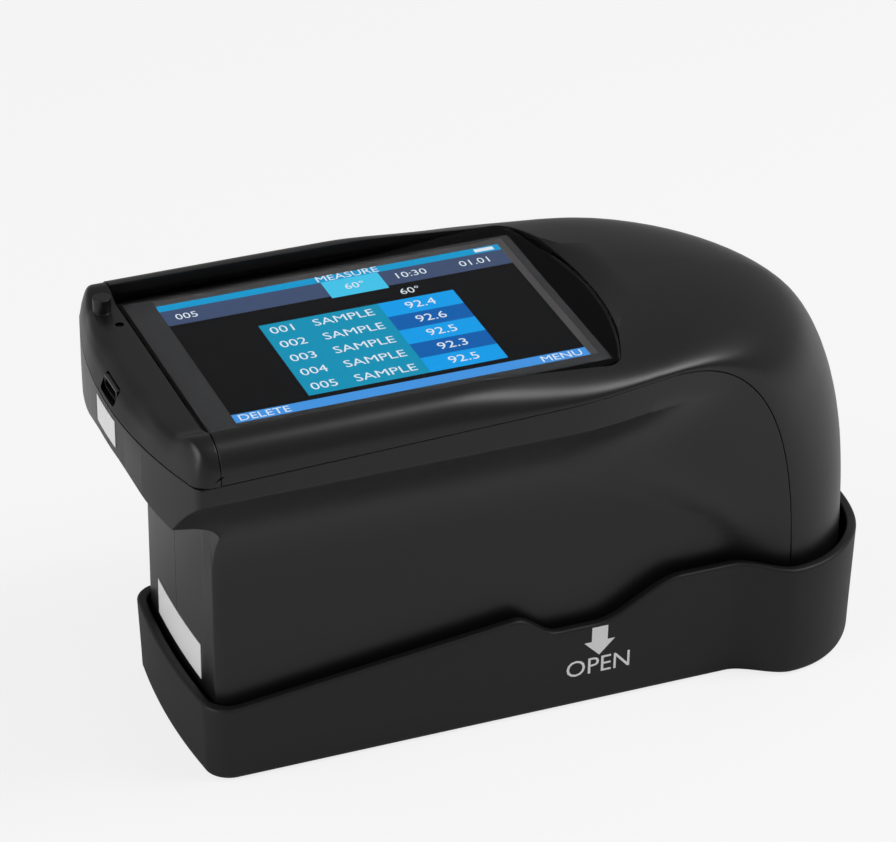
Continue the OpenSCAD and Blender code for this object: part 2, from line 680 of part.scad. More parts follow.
// Optical block: a gull shape whose arms hold the two beams
arm_r = beam_d / 2 + 4;
arm_end = 50;
arm_fill = 20;
function beam_dir(m) = [m * sin(beam_angle), cos(beam_angle)];
function beam_pt(m, r, q) =
    let (d = beam_dir(m)) [spot_x + r * d[0] - m * q * d[1], meter_z + r * d[1] + q * abs(d[0])];
module along_beam(m, r) {
    translate([beam_pt(m, r, 0)[0], 0, beam_pt(m, r, 0)[1]]) rotate([0, m * beam_angle, 0]) children();
}
module optical_block() {
    low = base_top;
    color("#b9bcc0") difference() {
        intersection() {
            rotate([90, 0, 0]) linear_extrude(block_w, center = true) polygon([
                beam_pt(-1, arm_end, -arm_r), [spot_x - 22.5, low], [spot_x + 22.5, low],
                beam_pt(1, arm_end, -arm_r), beam_pt(1, arm_end, arm_r),
                [spot_x + 16.6, meter_z + arm_fill], [spot_x - 16.6, meter_z + arm_fill],
                beam_pt(-1, arm_end, arm_r)
            ]);
            translate([spot_x - 80, -block_w / 2, low]) cube([160, block_w, 60]);
        }
        for (m = [-1, 1]) {
            along_beam(m, -10) cylinder(d = beam_d - 1.6, h = 90);
            along_beam(m, lens_at) cylinder(d = beam_d, h = 60);
            along_beam(m, arm_end - cup_l) cylinder(d = beam_d + 2, h = 20);
        }
        translate([spot_x - opening_l / 2, -opening_w / 2, low - 1]) cube([opening_l, opening_w, 5]);
        for (p = block_screws) translate([p[0], p[1], low - 1]) cylinder(d = screw_d, h = 8);
        for (m = [-1, 1], y = [-1, 1]) along_beam(m, arm_end - 6) translate([0, y * board_screw_y, 0])
            cylinder(d = screw_d, h = 10);
    }
}
lens_at = 28;
lens_h = 3;
cup_l = 7;
board_screw_y = 11;
module beam_lens(m) {
    difference() {
        along_beam(m, lens_at + 0.05) intersection() {
            cylinder(d = beam_d - 0.1, h = lens_h + 2);
            translate([0, 0, lens_h - 20]) sphere(r = 20, $fn = 64);
        }
    }
}
module source_lens() {
    color("#cfe3ea") beam_lens(-1);
}
module receiver_lens() {
    color("#cfe3ea") beam_lens(1);
}
module slit(m, l, w) {
    along_beam(m, arm_end - cup_l + 0.05) difference() {
        cylinder(d = beam_d + 1.9, h = 0.6);
        translate([-w / 2, -l / 2, -1]) cube([w, l, 3]);
    }
}
module source_slit() {
    color("#8a8c90") slit(-1, 4, 1.2);
}
module receiver_slit() {
    color("#8a8c90") slit(1, 6, 2);
}
// A round part in the arm's cup, seated on the slit, with a flange at its rear
module cup_part(m, d, tip) {
    along_beam(m, arm_end - cup_l + 0.7) {
        translate([0, 0, 3]) cylinder(d = beam_d + 1.8, h = cup_l - 3.7);
        translate([0, 0, tip]) cylinder(d = d, h = 3.2 - tip + eps);
        difference() {
            cylinder(d = beam_d + 1.8, h = 3.1);
            translate([0, 0, -1]) cylinder(d = beam_d - 0.5, h = 5);
        }
    }
}
module light_source() {
    color("#e6d9a8") cup_part(-1, lamp_d, 0.6);
}
module detector() {
    color("#6b6f8a") cup_part(1, lamp_d + 2, 1.2);
}
beam_board_l = 28;
beam_board_w = 16;
module beam_board(m) {
    along_beam(m, arm_end + 0.05) difference() {
        union() {
            translate([-beam_board_w / 2, -beam_board_l / 2, 0]) cube([beam_board_w, beam_board_l, board_t]);
            translate([-3.5, -4, board_t - eps]) cube([5, 8, 1.8]);
        }
        for (y = [-1, 1]) translate([0, y * board_screw_y, -1]) cylinder(d = screw_d + 0.4, h = 5);
    }
}
module source_board() {
    color("#1f5a3a") beam_board(-1);
}
module detector_board() {
    color("#1f5a3a") beam_board(1);
}
module optics_board_screws() {
    color("#9a9ca0") for (m = [-1, 1], y = [-1, 1])
        along_beam(m, arm_end + board_t + 0.1) translate([0, y * board_screw_y, 0])
            rotate([180, 0, 0]) screw(5);
}

// Display stack
module display_lens() {
    color("#101114") translate([0, 0, lens_z - lens_t]) linear_extrude(lens_t) lens_plan(0);
}
module display_seal() {
    color("#2a2b2d") difference() {
        translate([0, 0, seal_z]) linear_extrude(seal_t) lens_plan(-0.3);
        translate([lcd_x0 - 0.4, -lcd_w / 2 - 0.4, seal_z - 1]) cube([lcd_l + 0.8, lcd_w + 0.8, 5]);
    }
}
module lcd_module() {
    color("#2b6f9c") union() {
        translate([lcd_x0, -lcd_w / 2, lcd_under]) cube([lcd_l, lcd_w, lcd_t - 0.3]);
        translate([-screen_back - screen_l / 2, -screen_w / 2, lcd_under]) cube([screen_l, screen_w, lcd_t]);
    }
}
frame_t = 1.6;
main_x0 = lcd_x0 + 6.12;
main_top = seam_rear_z - 5;
post_x = [main_x0 + 5, main_x0 + main_l - 5];
post_y = main_w / 2 - 4;
flex_w = 24;
flex_x = main_x0 + main_l - 2;
module display_frame() {
    low = lcd_under - frame_t;
    color("#3c3e41") difference() {
        union() {
            translate([lcd_x0, -lcd_w / 2, low]) cube([main_x0 + main_l + 4 - lcd_x0, lcd_w, frame_t]);
            for (x = frame_screw_x, m = [-1, 1])
                hull() for (k = [lcd_w / 2 - 4, frame_screw_y])
                    translate([x, m * k, low]) cylinder(d = 5, h = frame_t, $fn = 24);
            for (x = post_x, m = [-1, 1]) translate([x, m * post_y, main_top + 0.05])
                cylinder(d = 5, h = low - main_top);
        }
        translate([flex_x - 2, -flex_w / 2 - 1, low - 1]) cube([20, flex_w + 2, 10]);
        translate([-52, -17, low - 1]) cube([44, 34, 10]);
        for (x = frame_screw_x, m = [-1, 1]) translate([x, m * frame_screw_y, low - 1])
            cylinder(d = screw_d + 0.4, h = 5);
        for (x = post_x, m = [-1, 1]) translate([x, m * post_y, main_top - 1]) cylinder(d = screw_d, h = 5);
    }
}
module display_frame_screws() {
    color("#9a9ca0") for (x = frame_screw_x, m = [-1, 1])
        translate([x, m * frame_screw_y, lcd_under - frame_t]) screw(4.2);
}
module display_flex() {
    t = 0.3;
    z0 = main_top + 1.8;
    z1 = lcd_under - 0.1;
    r = (z1 - z0) / 2;
    color("#c08a3a") rotate([90, 0, 0]) linear_extrude(flex_w, center = true) union() {
        translate([flex_x, z1 - t]) square([3.5 + eps, t]);
        translate([flex_x - 0.4, z0]) square([3.9 + eps, t]);
        translate([flex_x + 3.5, z0 + r]) intersection() {
            difference() {
                circle(r = r);
                circle(r = r - t);
            }
            translate([0, -10]) square([10, 20]);
        }
    }
}

// Main board and what it carries
module main_board() {
    color("#1f5a3a") difference() {
        union() {
            translate([main_x0, -main_w / 2, main_top - board_t]) cube([main_l, main_w, board_t]);
            translate([flex_x - 4.5, -flex_w / 2, main_top - eps]) cube([4, flex_w, 2]);
            translate([main_x0 + 22, -8, main_top - eps]) cube([14, 14, 1.4]);
            translate([main_x0 + 42, 2, main_top - eps]) cube([9, 12, 1.2]);
            translate([main_x0 + 42, -16, main_top - eps]) cube([12, 8, 1.8]);
        }
        for (x = post_x, m = [-1, 1]) translate([x, m * post_y, main_top - 5]) cylinder(d = screw_d + 0.4, h = 10);
    }
}
module main_board_screws() {
    color("#9a9ca0") for (x = post_x, m = [-1, 1]) translate([x, m * post_y, main_top - board_t]) screw(5.2);
}
module buzzer() {
    color("#202124") translate([main_x0 + 22, 14, main_top - board_t - 3.2]) difference() {
        cylinder(d = 9.6, h = 3.2);
        translate([0, 0, -1]) cylinder(d = 1.6, h = 3);
    }
}

// Small board under the rear cap with the port, the power switch and the lamp
io_x0 = -head_rear + 2.6;
io_x1 = -lens_rear - 0.8;
module io_board() {
    color("#1f5a3a") intersection() {
        difference() {
            translate([io_x0, -12, io_z - io_t]) cube([io_x1 - io_x0, power_y + 15.6, io_t]);
            for (y = cap_screw_y) translate([cap_screw_x, y, io_z - 3]) cylinder(d = screw_d + 0.4, h = 5);
        }
        translate([head_bow_r - head_rear, 0, 0]) cylinder(r = head_bow_r - wall - 1, h = big, $fn = 120);
    }
}
usb_l = 5.2;
usb_front = -head_rear + 1.2;
module usb_socket() {
    color("#b4b6ba") translate([usb_front, usb_y, usb_z]) difference() {
        translate([0, -usb_w / 2, -usb_h / 2]) cube([usb_l, usb_w, usb_h]);
        difference() {
            translate([-1, -usb_w / 2 + 0.4, -usb_h / 2 + 0.4]) cube([usb_l - 0.4, usb_w - 0.8, usb_h - 0.8]);
            translate([0.6, -1.9, -0.35]) cube([usb_l, 3.8, 0.7]);
        }
    }
}
module power_switch() {
    color("#c9cbce") translate([power_x, power_y, io_z]) {
        translate([-1.2, -1.5, 0]) cube([2.4, 3, 0.6]);
        cylinder(d = 1.6, h = 0.9);
    }
}
power_low = power_seat - 0.65;
module power_button() {
    color("#2e3033") translate([power_x, power_y, 0]) {
        translate([0, 0, power_low]) cylinder(d = power_d, h = cap_top - 0.5 - power_low);
        translate([0, 0, power_low]) cylinder(d = power_flange_d, h = power_seat - 0.05 - power_low);
    }
}
module status_led() {
    color("#2f8f4a") translate([led_x, led_y, io_z]) {
        translate([-1, -1, 0]) cube([2, 2, 0.8]);
        cylinder(d = led_d - 0.2, h = cap_top - 0.5 - io_z);
    }
}

// Measuring button in the left side, with its switch on a small board
key_out = grip_w / 2 + 2.3;
key_in = key_board_y + 4.9;
module measure_board() {
    color("#1f5a3a") translate([measure_x, key_board_y, measure_z]) difference() {
        translate([-13, 0, -6]) cube([26, board_t, 12]);
        for (m = [-1, 1]) translate([m * measure_post, -1, 0]) rotate([-90, 0, 0])
            cylinder(d = screw_d + 0.4, h = 5);
    }
}
module measure_board_screws() {
    color("#9a9ca0") for (m = [-1, 1]) translate([measure_x + m * measure_post, key_board_y, measure_z])
        rotate([-90, 0, 0]) screw(4.6);
}
module measure_switch() {
    color("#c9cbce") translate([measure_x, key_board_y + board_t, measure_z]) rotate([-90, 0, 0]) {
        translate([-3, -3, 0]) cube([6, 6, 1.8]);
        cylinder(d = 3, h = 2.4);
    }
}
module measure_button() {
    color("#3d4044") translate([measure_x, 0, measure_z]) rotate([-90, 0, 0]) {
        translate([0, 0, key_in]) cylinder(d = measure_d, h = key_out - key_in);
        translate([0, 0, key_in]) cylinder(d = measure_d + 2.4, h = 1);
    }
}

// Battery on its tray
battery_x0 = -54;
module battery_tray() {
    color("#3c3e41") difference() {
        union() {
            translate([tray_screw_x[0] - 2.6, 0.7 - grip_in, tray_z])
                cube([tray_screw_x[1] - tray_screw_x[0] + 5.2, 2 * grip_in - 1.4, tray_t]);
            for (x = [battery_x0 - 1.6, battery_x0 + battery_l + 0.2])
                translate([x, -battery_w / 2, tray_z]) cube([1.4, battery_w, tray_t + 4]);
        }
        for (x = tray_screw_x, m = [-1, 1]) translate([x, m * tray_screw_y, tray_z - 1])
            cylinder(d = screw_d + 0.4, h = 10);
    }
}
module battery() {
    color("#3d6fb0") translate([battery_x0, -battery_w / 2, tray_z + tray_t]) cube([battery_l, battery_w, battery_t]);
}
module battery_strap() {
    h = battery_t;
    color("#222326") translate([battery_x0 + battery_l / 2 - 4, 0, tray_z + tray_t]) rotate([90, 0, 90])
        linear_extrude(8) difference() {
            translate([-battery_w / 2 - 1.6, 0]) square([battery_w + 3.2, h + 1.1]);
            translate([-battery_w / 2 - 0.3, -1]) square([battery_w + 0.6, h + 1.1]);
        }
}
module battery_tray_screws() {
    color("#9a9ca0") for (x = tray_screw_x, m = [-1, 1])
        translate([x, m * tray_screw_y, tray_z + tray_t]) rotate([180, 0, 0]) screw(5);
}

module shell_screws() {
    color("#9a9ca0") for (p = shell_screw_at)
        translate([p[0], screw_seat, p[1]]) rotate([90, 0, 0]) screw(20);
}
module top_screws() {
    color("#9a9ca0") for (x = top_screw_x, m = [-1, 1]) translate([x, m * top_screw_y, lug_top - lug_t]) screw(6);
}
module cap_screws() {
    color("#9a9ca0") for (y = cap_screw_y) translate([cap_screw_x, y, cap_lug_top - lug_t]) screw(7);
}

// Blank labels that follow the bowed walls
label_t = 0.15;
module bowed_label(r, rear, y0, y1, z0, z1) {
    intersection() {
        translate([r - rear, 0, z0]) difference() {
            cylinder(r = r + label_t, h = z1 - z0, $fn = 240);
            translate([0, 0, -1]) cylinder(r = r + 0.02, h = z1 - z0 + 2, $fn = 240);
        }
        translate([-rear - 5, y0, z0]) cube([20, y1 - y0, z1 - z0]);
    }
}
module rear_label() {
    color("#f2f2f2") bowed_label(head_bow_r, head_rear, -4.4, 7.2, 69.6, 75.4);
}
module lower_label() {
    color("#f2f2f2") bowed_label(grip_bow_r, grip_rear, -13.6, 12.8, 18.2, 26.3);
}

holder_shell();
tile_pad();
calibration_tile();
tile_frame();
tile_frame_screws();
upper_shell();
rear_cap();
left_shell();
right_shell();
base_plate();
opening_ring();
display_lens();
display_seal();
lcd_module();
display_frame();
display_frame_screws();
display_flex();
main_board();
main_board_screws();
buzzer();
io_board();
usb_socket();
power_switch();
status_led();
power_button();
measure_board();
measure_switch();
measure_button();
measure_board_screws();
battery();
battery_tray();
battery_strap();
battery_tray_screws();
optical_block();
light_source();
source_slit();
source_lens();
receiver_lens();
receiver_slit();
detector();
source_board();
detector_board();
optics_board_screws();
optical_block_screws();
base_plate_screws();
shell_screws();
top_screws();
cap_screws();
rear_label();
lower_label();
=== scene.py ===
# Looks of a gloss meter that stands in its base holder.
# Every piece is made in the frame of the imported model. Shape values are in millimetres.
import math

import bpy
from mathutils import Matrix, Vector


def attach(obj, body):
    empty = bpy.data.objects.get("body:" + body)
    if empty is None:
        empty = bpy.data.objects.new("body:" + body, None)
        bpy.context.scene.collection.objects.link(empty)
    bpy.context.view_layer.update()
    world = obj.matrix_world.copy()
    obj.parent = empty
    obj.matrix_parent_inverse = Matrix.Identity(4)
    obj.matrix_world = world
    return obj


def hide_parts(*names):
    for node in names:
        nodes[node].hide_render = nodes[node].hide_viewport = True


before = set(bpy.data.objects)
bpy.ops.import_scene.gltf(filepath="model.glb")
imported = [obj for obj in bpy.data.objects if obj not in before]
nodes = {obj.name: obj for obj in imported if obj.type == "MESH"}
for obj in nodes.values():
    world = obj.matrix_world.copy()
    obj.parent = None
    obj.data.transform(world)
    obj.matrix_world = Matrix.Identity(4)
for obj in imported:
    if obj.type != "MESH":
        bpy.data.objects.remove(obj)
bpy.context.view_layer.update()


# Camera
def place_camera():
    """The camera at the photograph's viewing angle."""
    azimuth = math.radians(-21.634)
    elevation = math.radians(30.466)
    roll = math.radians(0.228)
    target = Vector((-0.009435, 0.0, 0.058012))
    back = Vector((
        math.sin(azimuth) * math.cos(elevation),
        -math.cos(azimuth) * math.cos(elevation),
        math.sin(elevation),
    ))
    level = Vector((0, 0, 1)).cross(back).normalized()
    rise = back.cross(level)
    across = level * math.cos(roll) + rise * math.sin(roll)
    up = back.cross(across)
    bpy.ops.object.camera_add(location=target + back * 0.905829)
    camera = bpy.context.object
    camera.name = "camera"
    camera.rotation_euler = Matrix((across, up, back)).transposed().to_euler()
    camera.data.sensor_width = 36
    camera.data.lens = 4500 / 896 * 36
    camera.data.clip_start = 0.01
    bpy.context.scene.camera = camera


place_camera()

# Sizes of the body, in millimetres
grip_w = 43.8
grip_rear = 67.8
grip_bow = 1.1
grip_bow_r = (grip_w ** 2 / 4 + grip_bow ** 2) / (2 * grip_bow)
foot_rear_r = 4.0
nose_w = 54.6
nose_tip = 75.5
wall = 2.2
joint_gap = 0.2
base_z = 8.5
top_z = 85.4
lens_z = 83.1
seal_z = 81.4
tub_z = 79.8

# The screen and its window
screen_rear = -62.52
screen_front = 10.92
screen_side = 24.48
lens_rear = 69.8
lens_tip = 21.0
lens_w = 61.6
lens_r = 75.0
lens_corner = 4.0
lens_gap = 0.15

# The head
head_w = lens_w + 13
head_rear = lens_rear + 10.8
head_bow = 5.0
head_bow_y = 34.0
head_bow_r = (head_bow_y ** 2 + head_bow ** 2) / (2 * head_bow)
head_corner = 2.5
corner_start = 6.2
rail_rear = lens_rear + lens_gap
cap_front = rail_rear + joint_gap
cap_top = lens_z + 0.3

# What is let into the rear cap: places seen from above, then the port's middle and half sizes
power_place = (-73.5, 24.8)
power_recess_r = 1.85
power_bore_r = 1.6
lamp_place = (-72, 18.2)
lamp_r = 0.9
port_y = 1.4
port_z = 79.4
port_half_w = 4.3
port_half_h = 1.8

# What is let into the left lower shell: places in its side view
key_place = (17, 50)
key_bore_r = 6.4
shell_screw_places = ((-58.5, 18), (50.4, 15.2))
screw_head_r = 2.1

# The parting line: a sloping line, then a quarter superellipse down the nose
seam_rear_z = 77.0
seam_front_z = 79.8
seam_x = 20.7
seam_base_z = 14.0
seam_a = 34.8
seam_b = seam_front_z - seam_base_z
seam_n = 2.74
nose_x = seam_x + seam_a

# The crest of the nose and the arch over it
crest_x = 20.9
crest_z = 15.4
crest_n = 3.7
crest_fall = 0.3
arch_from = 0.52
arch_to = 1.2
arch_n = 1.68

# How the sides swell from the grip to the head and close in towards the nose
flare_z = 42.0
flare_top = 73.0
flare_n = 2.5
nose_low = 20.0
nose_n = 1.96
nose_top_w = head_w - 10.4
nose_from = 1.5
nose_to = 42.2
foot_from = 43.0
hook_low = 60.0
rim_front = 26.5
rim_rear = 17.2
rim_fall = 3.8


def mix(a, b, t):
    return a + (b - a) * t


def smooth(t):
    u = max(0.0, min(1.0, t))
    return u * u * (3 - 2 * u)


def steps(a, b, count):
    return [mix(a, b, i / count) for i in range(count + 1)]


def seam_line(x):
    return mix(seam_rear_z, seam_front_z, (x + 74) / (seam_x + 74))


def half_width(x, z):
    """Half width of the body at the place x and the height z."""
    flare = min(1.0, max(0.0, (z - flare_z) / (flare_top - flare_z)))
    grip = grip_w / 2 + (head_w - grip_w) / 2 * flare ** flare_n
    swell = min(1.0, max(0.0, (z - nose_low) / (seam_front_z - nose_low)))
    nose = nose_w / 2 + (nose_top_w - nose_w) / 2 * swell ** nose_n
    rise = smooth((z - rim_front) / 35)
    start = mix(foot_from, nose_from, rise)
    end = mix(nose_x, nose_to, rise)
    return mix(grip, nose, smooth((x - start) / (end - start)))


def through(points, count):
    """Points on a smooth curve through the given points."""
    ends = [points[0]] + points + [points[-1]]
    curve = []
    for i in range(1, len(ends) - 2):
        for k in range(count):
            t = k / count
            p0, p1, p2, p3 = ends[i - 1:i + 3]
            curve.append(tuple(
                0.5 * (
                    2 * b + (c - a) * t + (2 * a - 5 * b + 4 * c - d) * t * t
                    + (3 * b - a - 3 * c + d) * t ** 3
                )
                for a, b, c, d in zip(p0, p1, p2, p3)
            ))
    curve.append(points[-1])
    return curve


# Modelling
def select_only(piece):
    bpy.ops.object.select_all(action="DESELECT")
    piece.select_set(True)
    bpy.context.view_layer.objects.active = piece


def fresh():
    bpy.ops.object.select_all(action="DESELECT")


def metres(point):
    return [c / 1000 for c in point]


def skin(name, rings):
    """A closed skin through rings of points, bent up from a grid, with its two end rings filled."""
    rows = len(rings) - 1
    count = len(rings[0])
    fresh()
    bpy.ops.mesh.primitive_grid_add(x_subdivisions=count, y_subdivisions=rows, size=2)
    piece = bpy.context.object
    piece.name = name
    for v in piece.data.vertices:
        i = round((v.co.x + 1) / 2 * count)
        j = round((v.co.y + 1) / 2 * rows)
        v.co = metres(rings[j][i % count])
    bpy.ops.object.mode_set(mode="EDIT")
    bpy.ops.mesh.select_mode(type="EDGE")
    bpy.ops.mesh.select_all(action="SELECT")
    bpy.ops.mesh.remove_doubles(threshold=0.000002)
    bpy.ops.mesh.select_all(action="DESELECT")
    bpy.ops.mesh.select_non_manifold()
    bpy.ops.mesh.fill_holes(sides=0)
    bpy.ops.mesh.select_all(action="SELECT")
    bpy.ops.mesh.normals_make_consistent(inside=False)
    bpy.ops.object.mode_set(mode="OBJECT")
    return piece


def prism(name, outline, low, high, across="z"):
    """A prism with the outline's shape. Its length runs along z, or along y for a side view."""
    if across == "z":
        rings = [[(p[0], p[1], h) for p in outline] for h in (low, high)]
    else:
        rings = [[(p[0], h, p[1]) for p in outline] for h in (low, high)]
    return skin(name, rings)


def block(name, low, high):
    fresh()
    bpy.ops.mesh.primitive_cube_add(size=1)
    piece = bpy.context.object
    piece.name = name
    for v in piece.data.vertices:
        v.co = [mix(a, b, c + 0.5) / 1000 for a, b, c in zip(low, high, v.co)]
    return piece


def rod(name, radius, low, high, place, axis="z", sides=64):
    """A straight round piece from low to high along z or y, at the place given for the other two."""
    fresh()
    bpy.ops.mesh.primitive_cylinder_add(vertices=sides, radius=radius / 1000, depth=(high - low) / 1000)
    piece = bpy.context.object
    piece.name = name
    middle = (low + high) / 2000
    for v in piece.data.vertices:
        a, b, c = v.co
        if axis == "z":
            v.co = (a + place[0] / 1000, b + place[1] / 1000, c + middle)
        else:
            v.co = (a + place[0] / 1000, c + middle, -b + place[1] / 1000)
    return piece


def combine(piece, other, operation):
    """Cuts, joins or intersects a piece with another, which is used up."""
    select_only(piece)
    change = piece.modifiers.new("cut", "BOOLEAN")
    change.operation = operation
    change.object = other
    change.solver = "EXACT"
    bpy.ops.object.modifier_apply(modifier=change.name)
    bpy.data.objects.remove(other)
    return piece


def cut(piece, other):
    return combine(piece, other, "DIFFERENCE")


def copy_of(piece, name):
    twin = piece.copy()
    twin.data = piece.data.copy()
    twin.name = name
    bpy.context.scene.collection.objects.link(twin)
    return twin


def soften(piece, angle=32):
    select_only(piece)
    bpy.ops.object.shade_smooth_by_angle(angle=math.radians(angle))


def finish_piece(piece, material, body, slot, *replaced):
    piece.data.materials.clear()
    piece.data.materials.append(material)
    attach(piece, body)
    if replaced:
        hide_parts(*replaced)


# Materials
def tone(red, green, blue):
    """A colour given as it looks on screen, from 0 to 255."""
    def linear(value):
        value = value / 255
        return value / 12.92 if value <= 0.04045 else ((value + 0.055) / 1.055) ** 2.4
    return (linear(red), linear(green), linear(blue), 1)


def moulded_surface():
    """Group: the fine texture, rounded edges and slight handling marks of moulded plastic."""
    group = bpy.data.node_groups.new("moulded_surface", "ShaderNodeTree")
    for name, kind, value in (
        ("Grain scale", "NodeSocketFloat", 2600),
        ("Grain depth", "NodeSocketFloat", 0.1),
        ("Edge radius", "NodeSocketFloat", 0.0004),
        ("Roughness", "NodeSocketFloat", 0.42),
        ("Handling", "NodeSocketFloat", 0.08),
        ("Colour", "NodeSocketColor", None),
        ("Wear colour", "NodeSocketColor", None),
        ("Wear", "NodeSocketFloat", 0.3),
    ):
        socket = group.interface.new_socket(name, in_out="INPUT", socket_type=kind)
        if value is not None:
            socket.default_value = value
    group.interface.new_socket("Colour", in_out="OUTPUT", socket_type="NodeSocketColor")
    group.interface.new_socket("Roughness", in_out="OUTPUT", socket_type="NodeSocketFloat")
    group.interface.new_socket("Normal", in_out="OUTPUT", socket_type="NodeSocketVector")
    n = group.nodes
    link = group.links.new
    start = n.new("NodeGroupInput")
    end = n.new("NodeGroupOutput")
    place = n.new("ShaderNodeTexCoord")
    grain = n.new("ShaderNodeTexNoise")
    grain.inputs["Detail"].default_value = 2
    link(place.outputs["Object"], grain.inputs["Vector"])
    link(start.outputs["Grain scale"], grain.inputs["Scale"])
    edge = n.new("ShaderNodeBevel")
    edge.samples = 6
    link(start.outputs["Edge radius"], edge.inputs["Radius"])
    bump = n.new("ShaderNodeBump")
    bump.inputs["Distance"].default_value = 0.00004
    link(start.outputs["Grain depth"], bump.inputs["Strength"])
    link(grain.outputs["Fac"], bump.inputs["Height"])
    link(edge.outputs["Normal"], bump.inputs["Normal"])
    link(bump.outputs["Normal"], end.inputs["Normal"])
    # Handling marks: broad, faint changes of gloss
    marks = n.new("ShaderNodeTexNoise")
    marks.inputs["Scale"].default_value = 38
    marks.inputs["Detail"].default_value = 5
    marks.inputs["Roughness"].default_value = 0.62
    link(place.outputs["Object"], marks.inputs["Vector"])
    spread = n.new("ShaderNodeMath")
    spread.operation = "SUBTRACT"
    link(marks.outputs["Fac"], spread.inputs[0])
    spread.inputs[1].default_value = 0.5
    amount = n.new("ShaderNodeMath")
    amount.operation = "MULTIPLY_ADD"
    link(spread.outputs[0], amount.inputs[0])
    link(start.outputs["Handling"], amount.inputs[1])
    link(start.outputs["Roughness"], amount.inputs[2])
    link(amount.outputs[0], end.inputs["Roughness"])
    # Wear: the colour lifts a little where the surface turns sharply
    face = n.new("ShaderNodeNewGeometry")
    turn = n.new("ShaderNodeMapRange")
    turn.inputs["From Min"].default_value = 0.52
    turn.inputs["From Max"].default_value = 0.62
    link(face.outputs["Pointiness"], turn.inputs["Value"])
    patch = n.new("ShaderNodeMath")
    patch.operation = "MULTIPLY"
    link(turn.outputs["Result"], patch.inputs[0])
    link(marks.outputs["Fac"], patch.inputs[1])
    share = n.new("ShaderNodeMath")
    share.operation = "MULTIPLY"
    link(patch.outputs[0], share.inputs[0])
    link(start.outputs["Wear"], share.inputs[1])
    blend = n.new("ShaderNodeMix")
    blend.data_type = "RGBA"
    link(share.outputs[0], blend.inputs["Factor"])
    link(start.outputs["Colour"], blend.inputs["A"])
    link(start.outputs["Wear colour"], blend.inputs["B"])
    link(blend.outputs["Result"], end.inputs["Colour"])
    return group


moulded_group = moulded_surface()


def new_material(name):
    material = bpy.data.materials.new(name)
    material.use_nodes = True
    tree = material.node_tree
    return material, tree.nodes, tree.links.new, tree.nodes["Principled BSDF"]


def moulded(name, colour, roughness, grain=2600, depth=0.12, edge=0.0004,
            handling=0.08, wear=0.25, shine=0.5):
    """Moulded plastic and other even surfaces, with the shared texture and edges."""
    material, n, link, shader = new_material(name)
    shader.inputs["Specular IOR Level"].default_value = shine
    surface = n.new("ShaderNodeGroup")
    surface.node_tree = moulded_group
    surface.inputs["Grain scale"].default_value = grain
    surface.inputs["Grain depth"].default_value = depth
    surface.inputs["Edge radius"].default_value = edge
    surface.inputs["Roughness"].default_value = roughness
    surface.inputs["Handling"].default_value = handling
    surface.inputs["Colour"].default_value = colour
    surface.inputs["Wear colour"].default_value = [min(1, c * 2.2 + 0.01) for c in colour[:3]] + [1]
    surface.inputs["Wear"].default_value = wear
    link(surface.outputs["Colour"], shader.inputs["Base Color"])
    link(surface.outputs["Roughness"], shader.inputs["Roughness"])
    link(surface.outputs["Normal"], shader.inputs["Normal"])
    return material


def metal(name, colour, roughness, stretch=(1, 1, 14)):
    """Drawn or milled metal, with fine marks along one direction."""
    material, n, link, shader = new_material(name)
    shader.inputs["Metallic"].default_value = 1
    place = n.new("ShaderNodeTexCoord")
    turn = n.new("ShaderNodeMapping")
    turn.inputs["Scale"].default_value = stretch
    link(place.outputs["Object"], turn.inputs["Vector"])
    marks = n.new("ShaderNodeTexNoise")
    marks.inputs["Scale"].default_value = 900
    marks.inputs["Detail"].default_value = 3
    link(turn.outputs["Vector"], marks.inputs["Vector"])
    shade = n.new("ShaderNodeMapRange")
    shade.inputs["To Min"].default_value = roughness - 0.08
    shade.inputs["To Max"].default_value = roughness + 0.12
    link(marks.outputs["Fac"], shade.inputs["Value"])
    link(shade.outputs["Result"], shader.inputs["Roughness"])
    ramp = n.new("ShaderNodeMix")
    ramp.data_type = "RGBA"
    ramp.inputs["A"].default_value = colour
    ramp.inputs["B"].default_value = [c * 0.8 for c in colour[:3]] + [1]
    link(marks.outputs["Fac"], ramp.inputs["Factor"])
    link(ramp.outputs["Result"], shader.inputs["Base Color"])
    bump = n.new("ShaderNodeBump")
    bump.inputs["Strength"].default_value = 0.15
    bump.inputs["Distance"].default_value = 0.00002
    link(marks.outputs["Fac"], bump.inputs["Height"])
    link(bump.outputs["Normal"], shader.inputs["Normal"])
    return material


def glass(name, colour, roughness, ior=1.5):
    material, n, link, shader = new_material(name)
    shader.inputs["Transmission Weight"].default_value = 1
    shader.inputs["IOR"].default_value = ior
    place = n.new("ShaderNodeTexCoord")
    smear = n.new("ShaderNodeTexNoise")
    smear.inputs["Scale"].default_value = 30
    smear.inputs["Detail"].default_value = 6
    link(place.outputs["Object"], smear.inputs["Vector"])
    shade = n.new("ShaderNodeMapRange")
    shade.inputs["From Min"].default_value = 0.4
    shade.inputs["From Max"].default_value = 0.75
    shade.inputs["To Min"].default_value = roughness
    shade.inputs["To Max"].default_value = roughness + 0.03
    link(smear.outputs["Fac"], shade.inputs["Value"])
    link(shade.outputs["Result"], shader.inputs["Roughness"])
    shader.inputs["Base Color"].default_value = colour
    return material


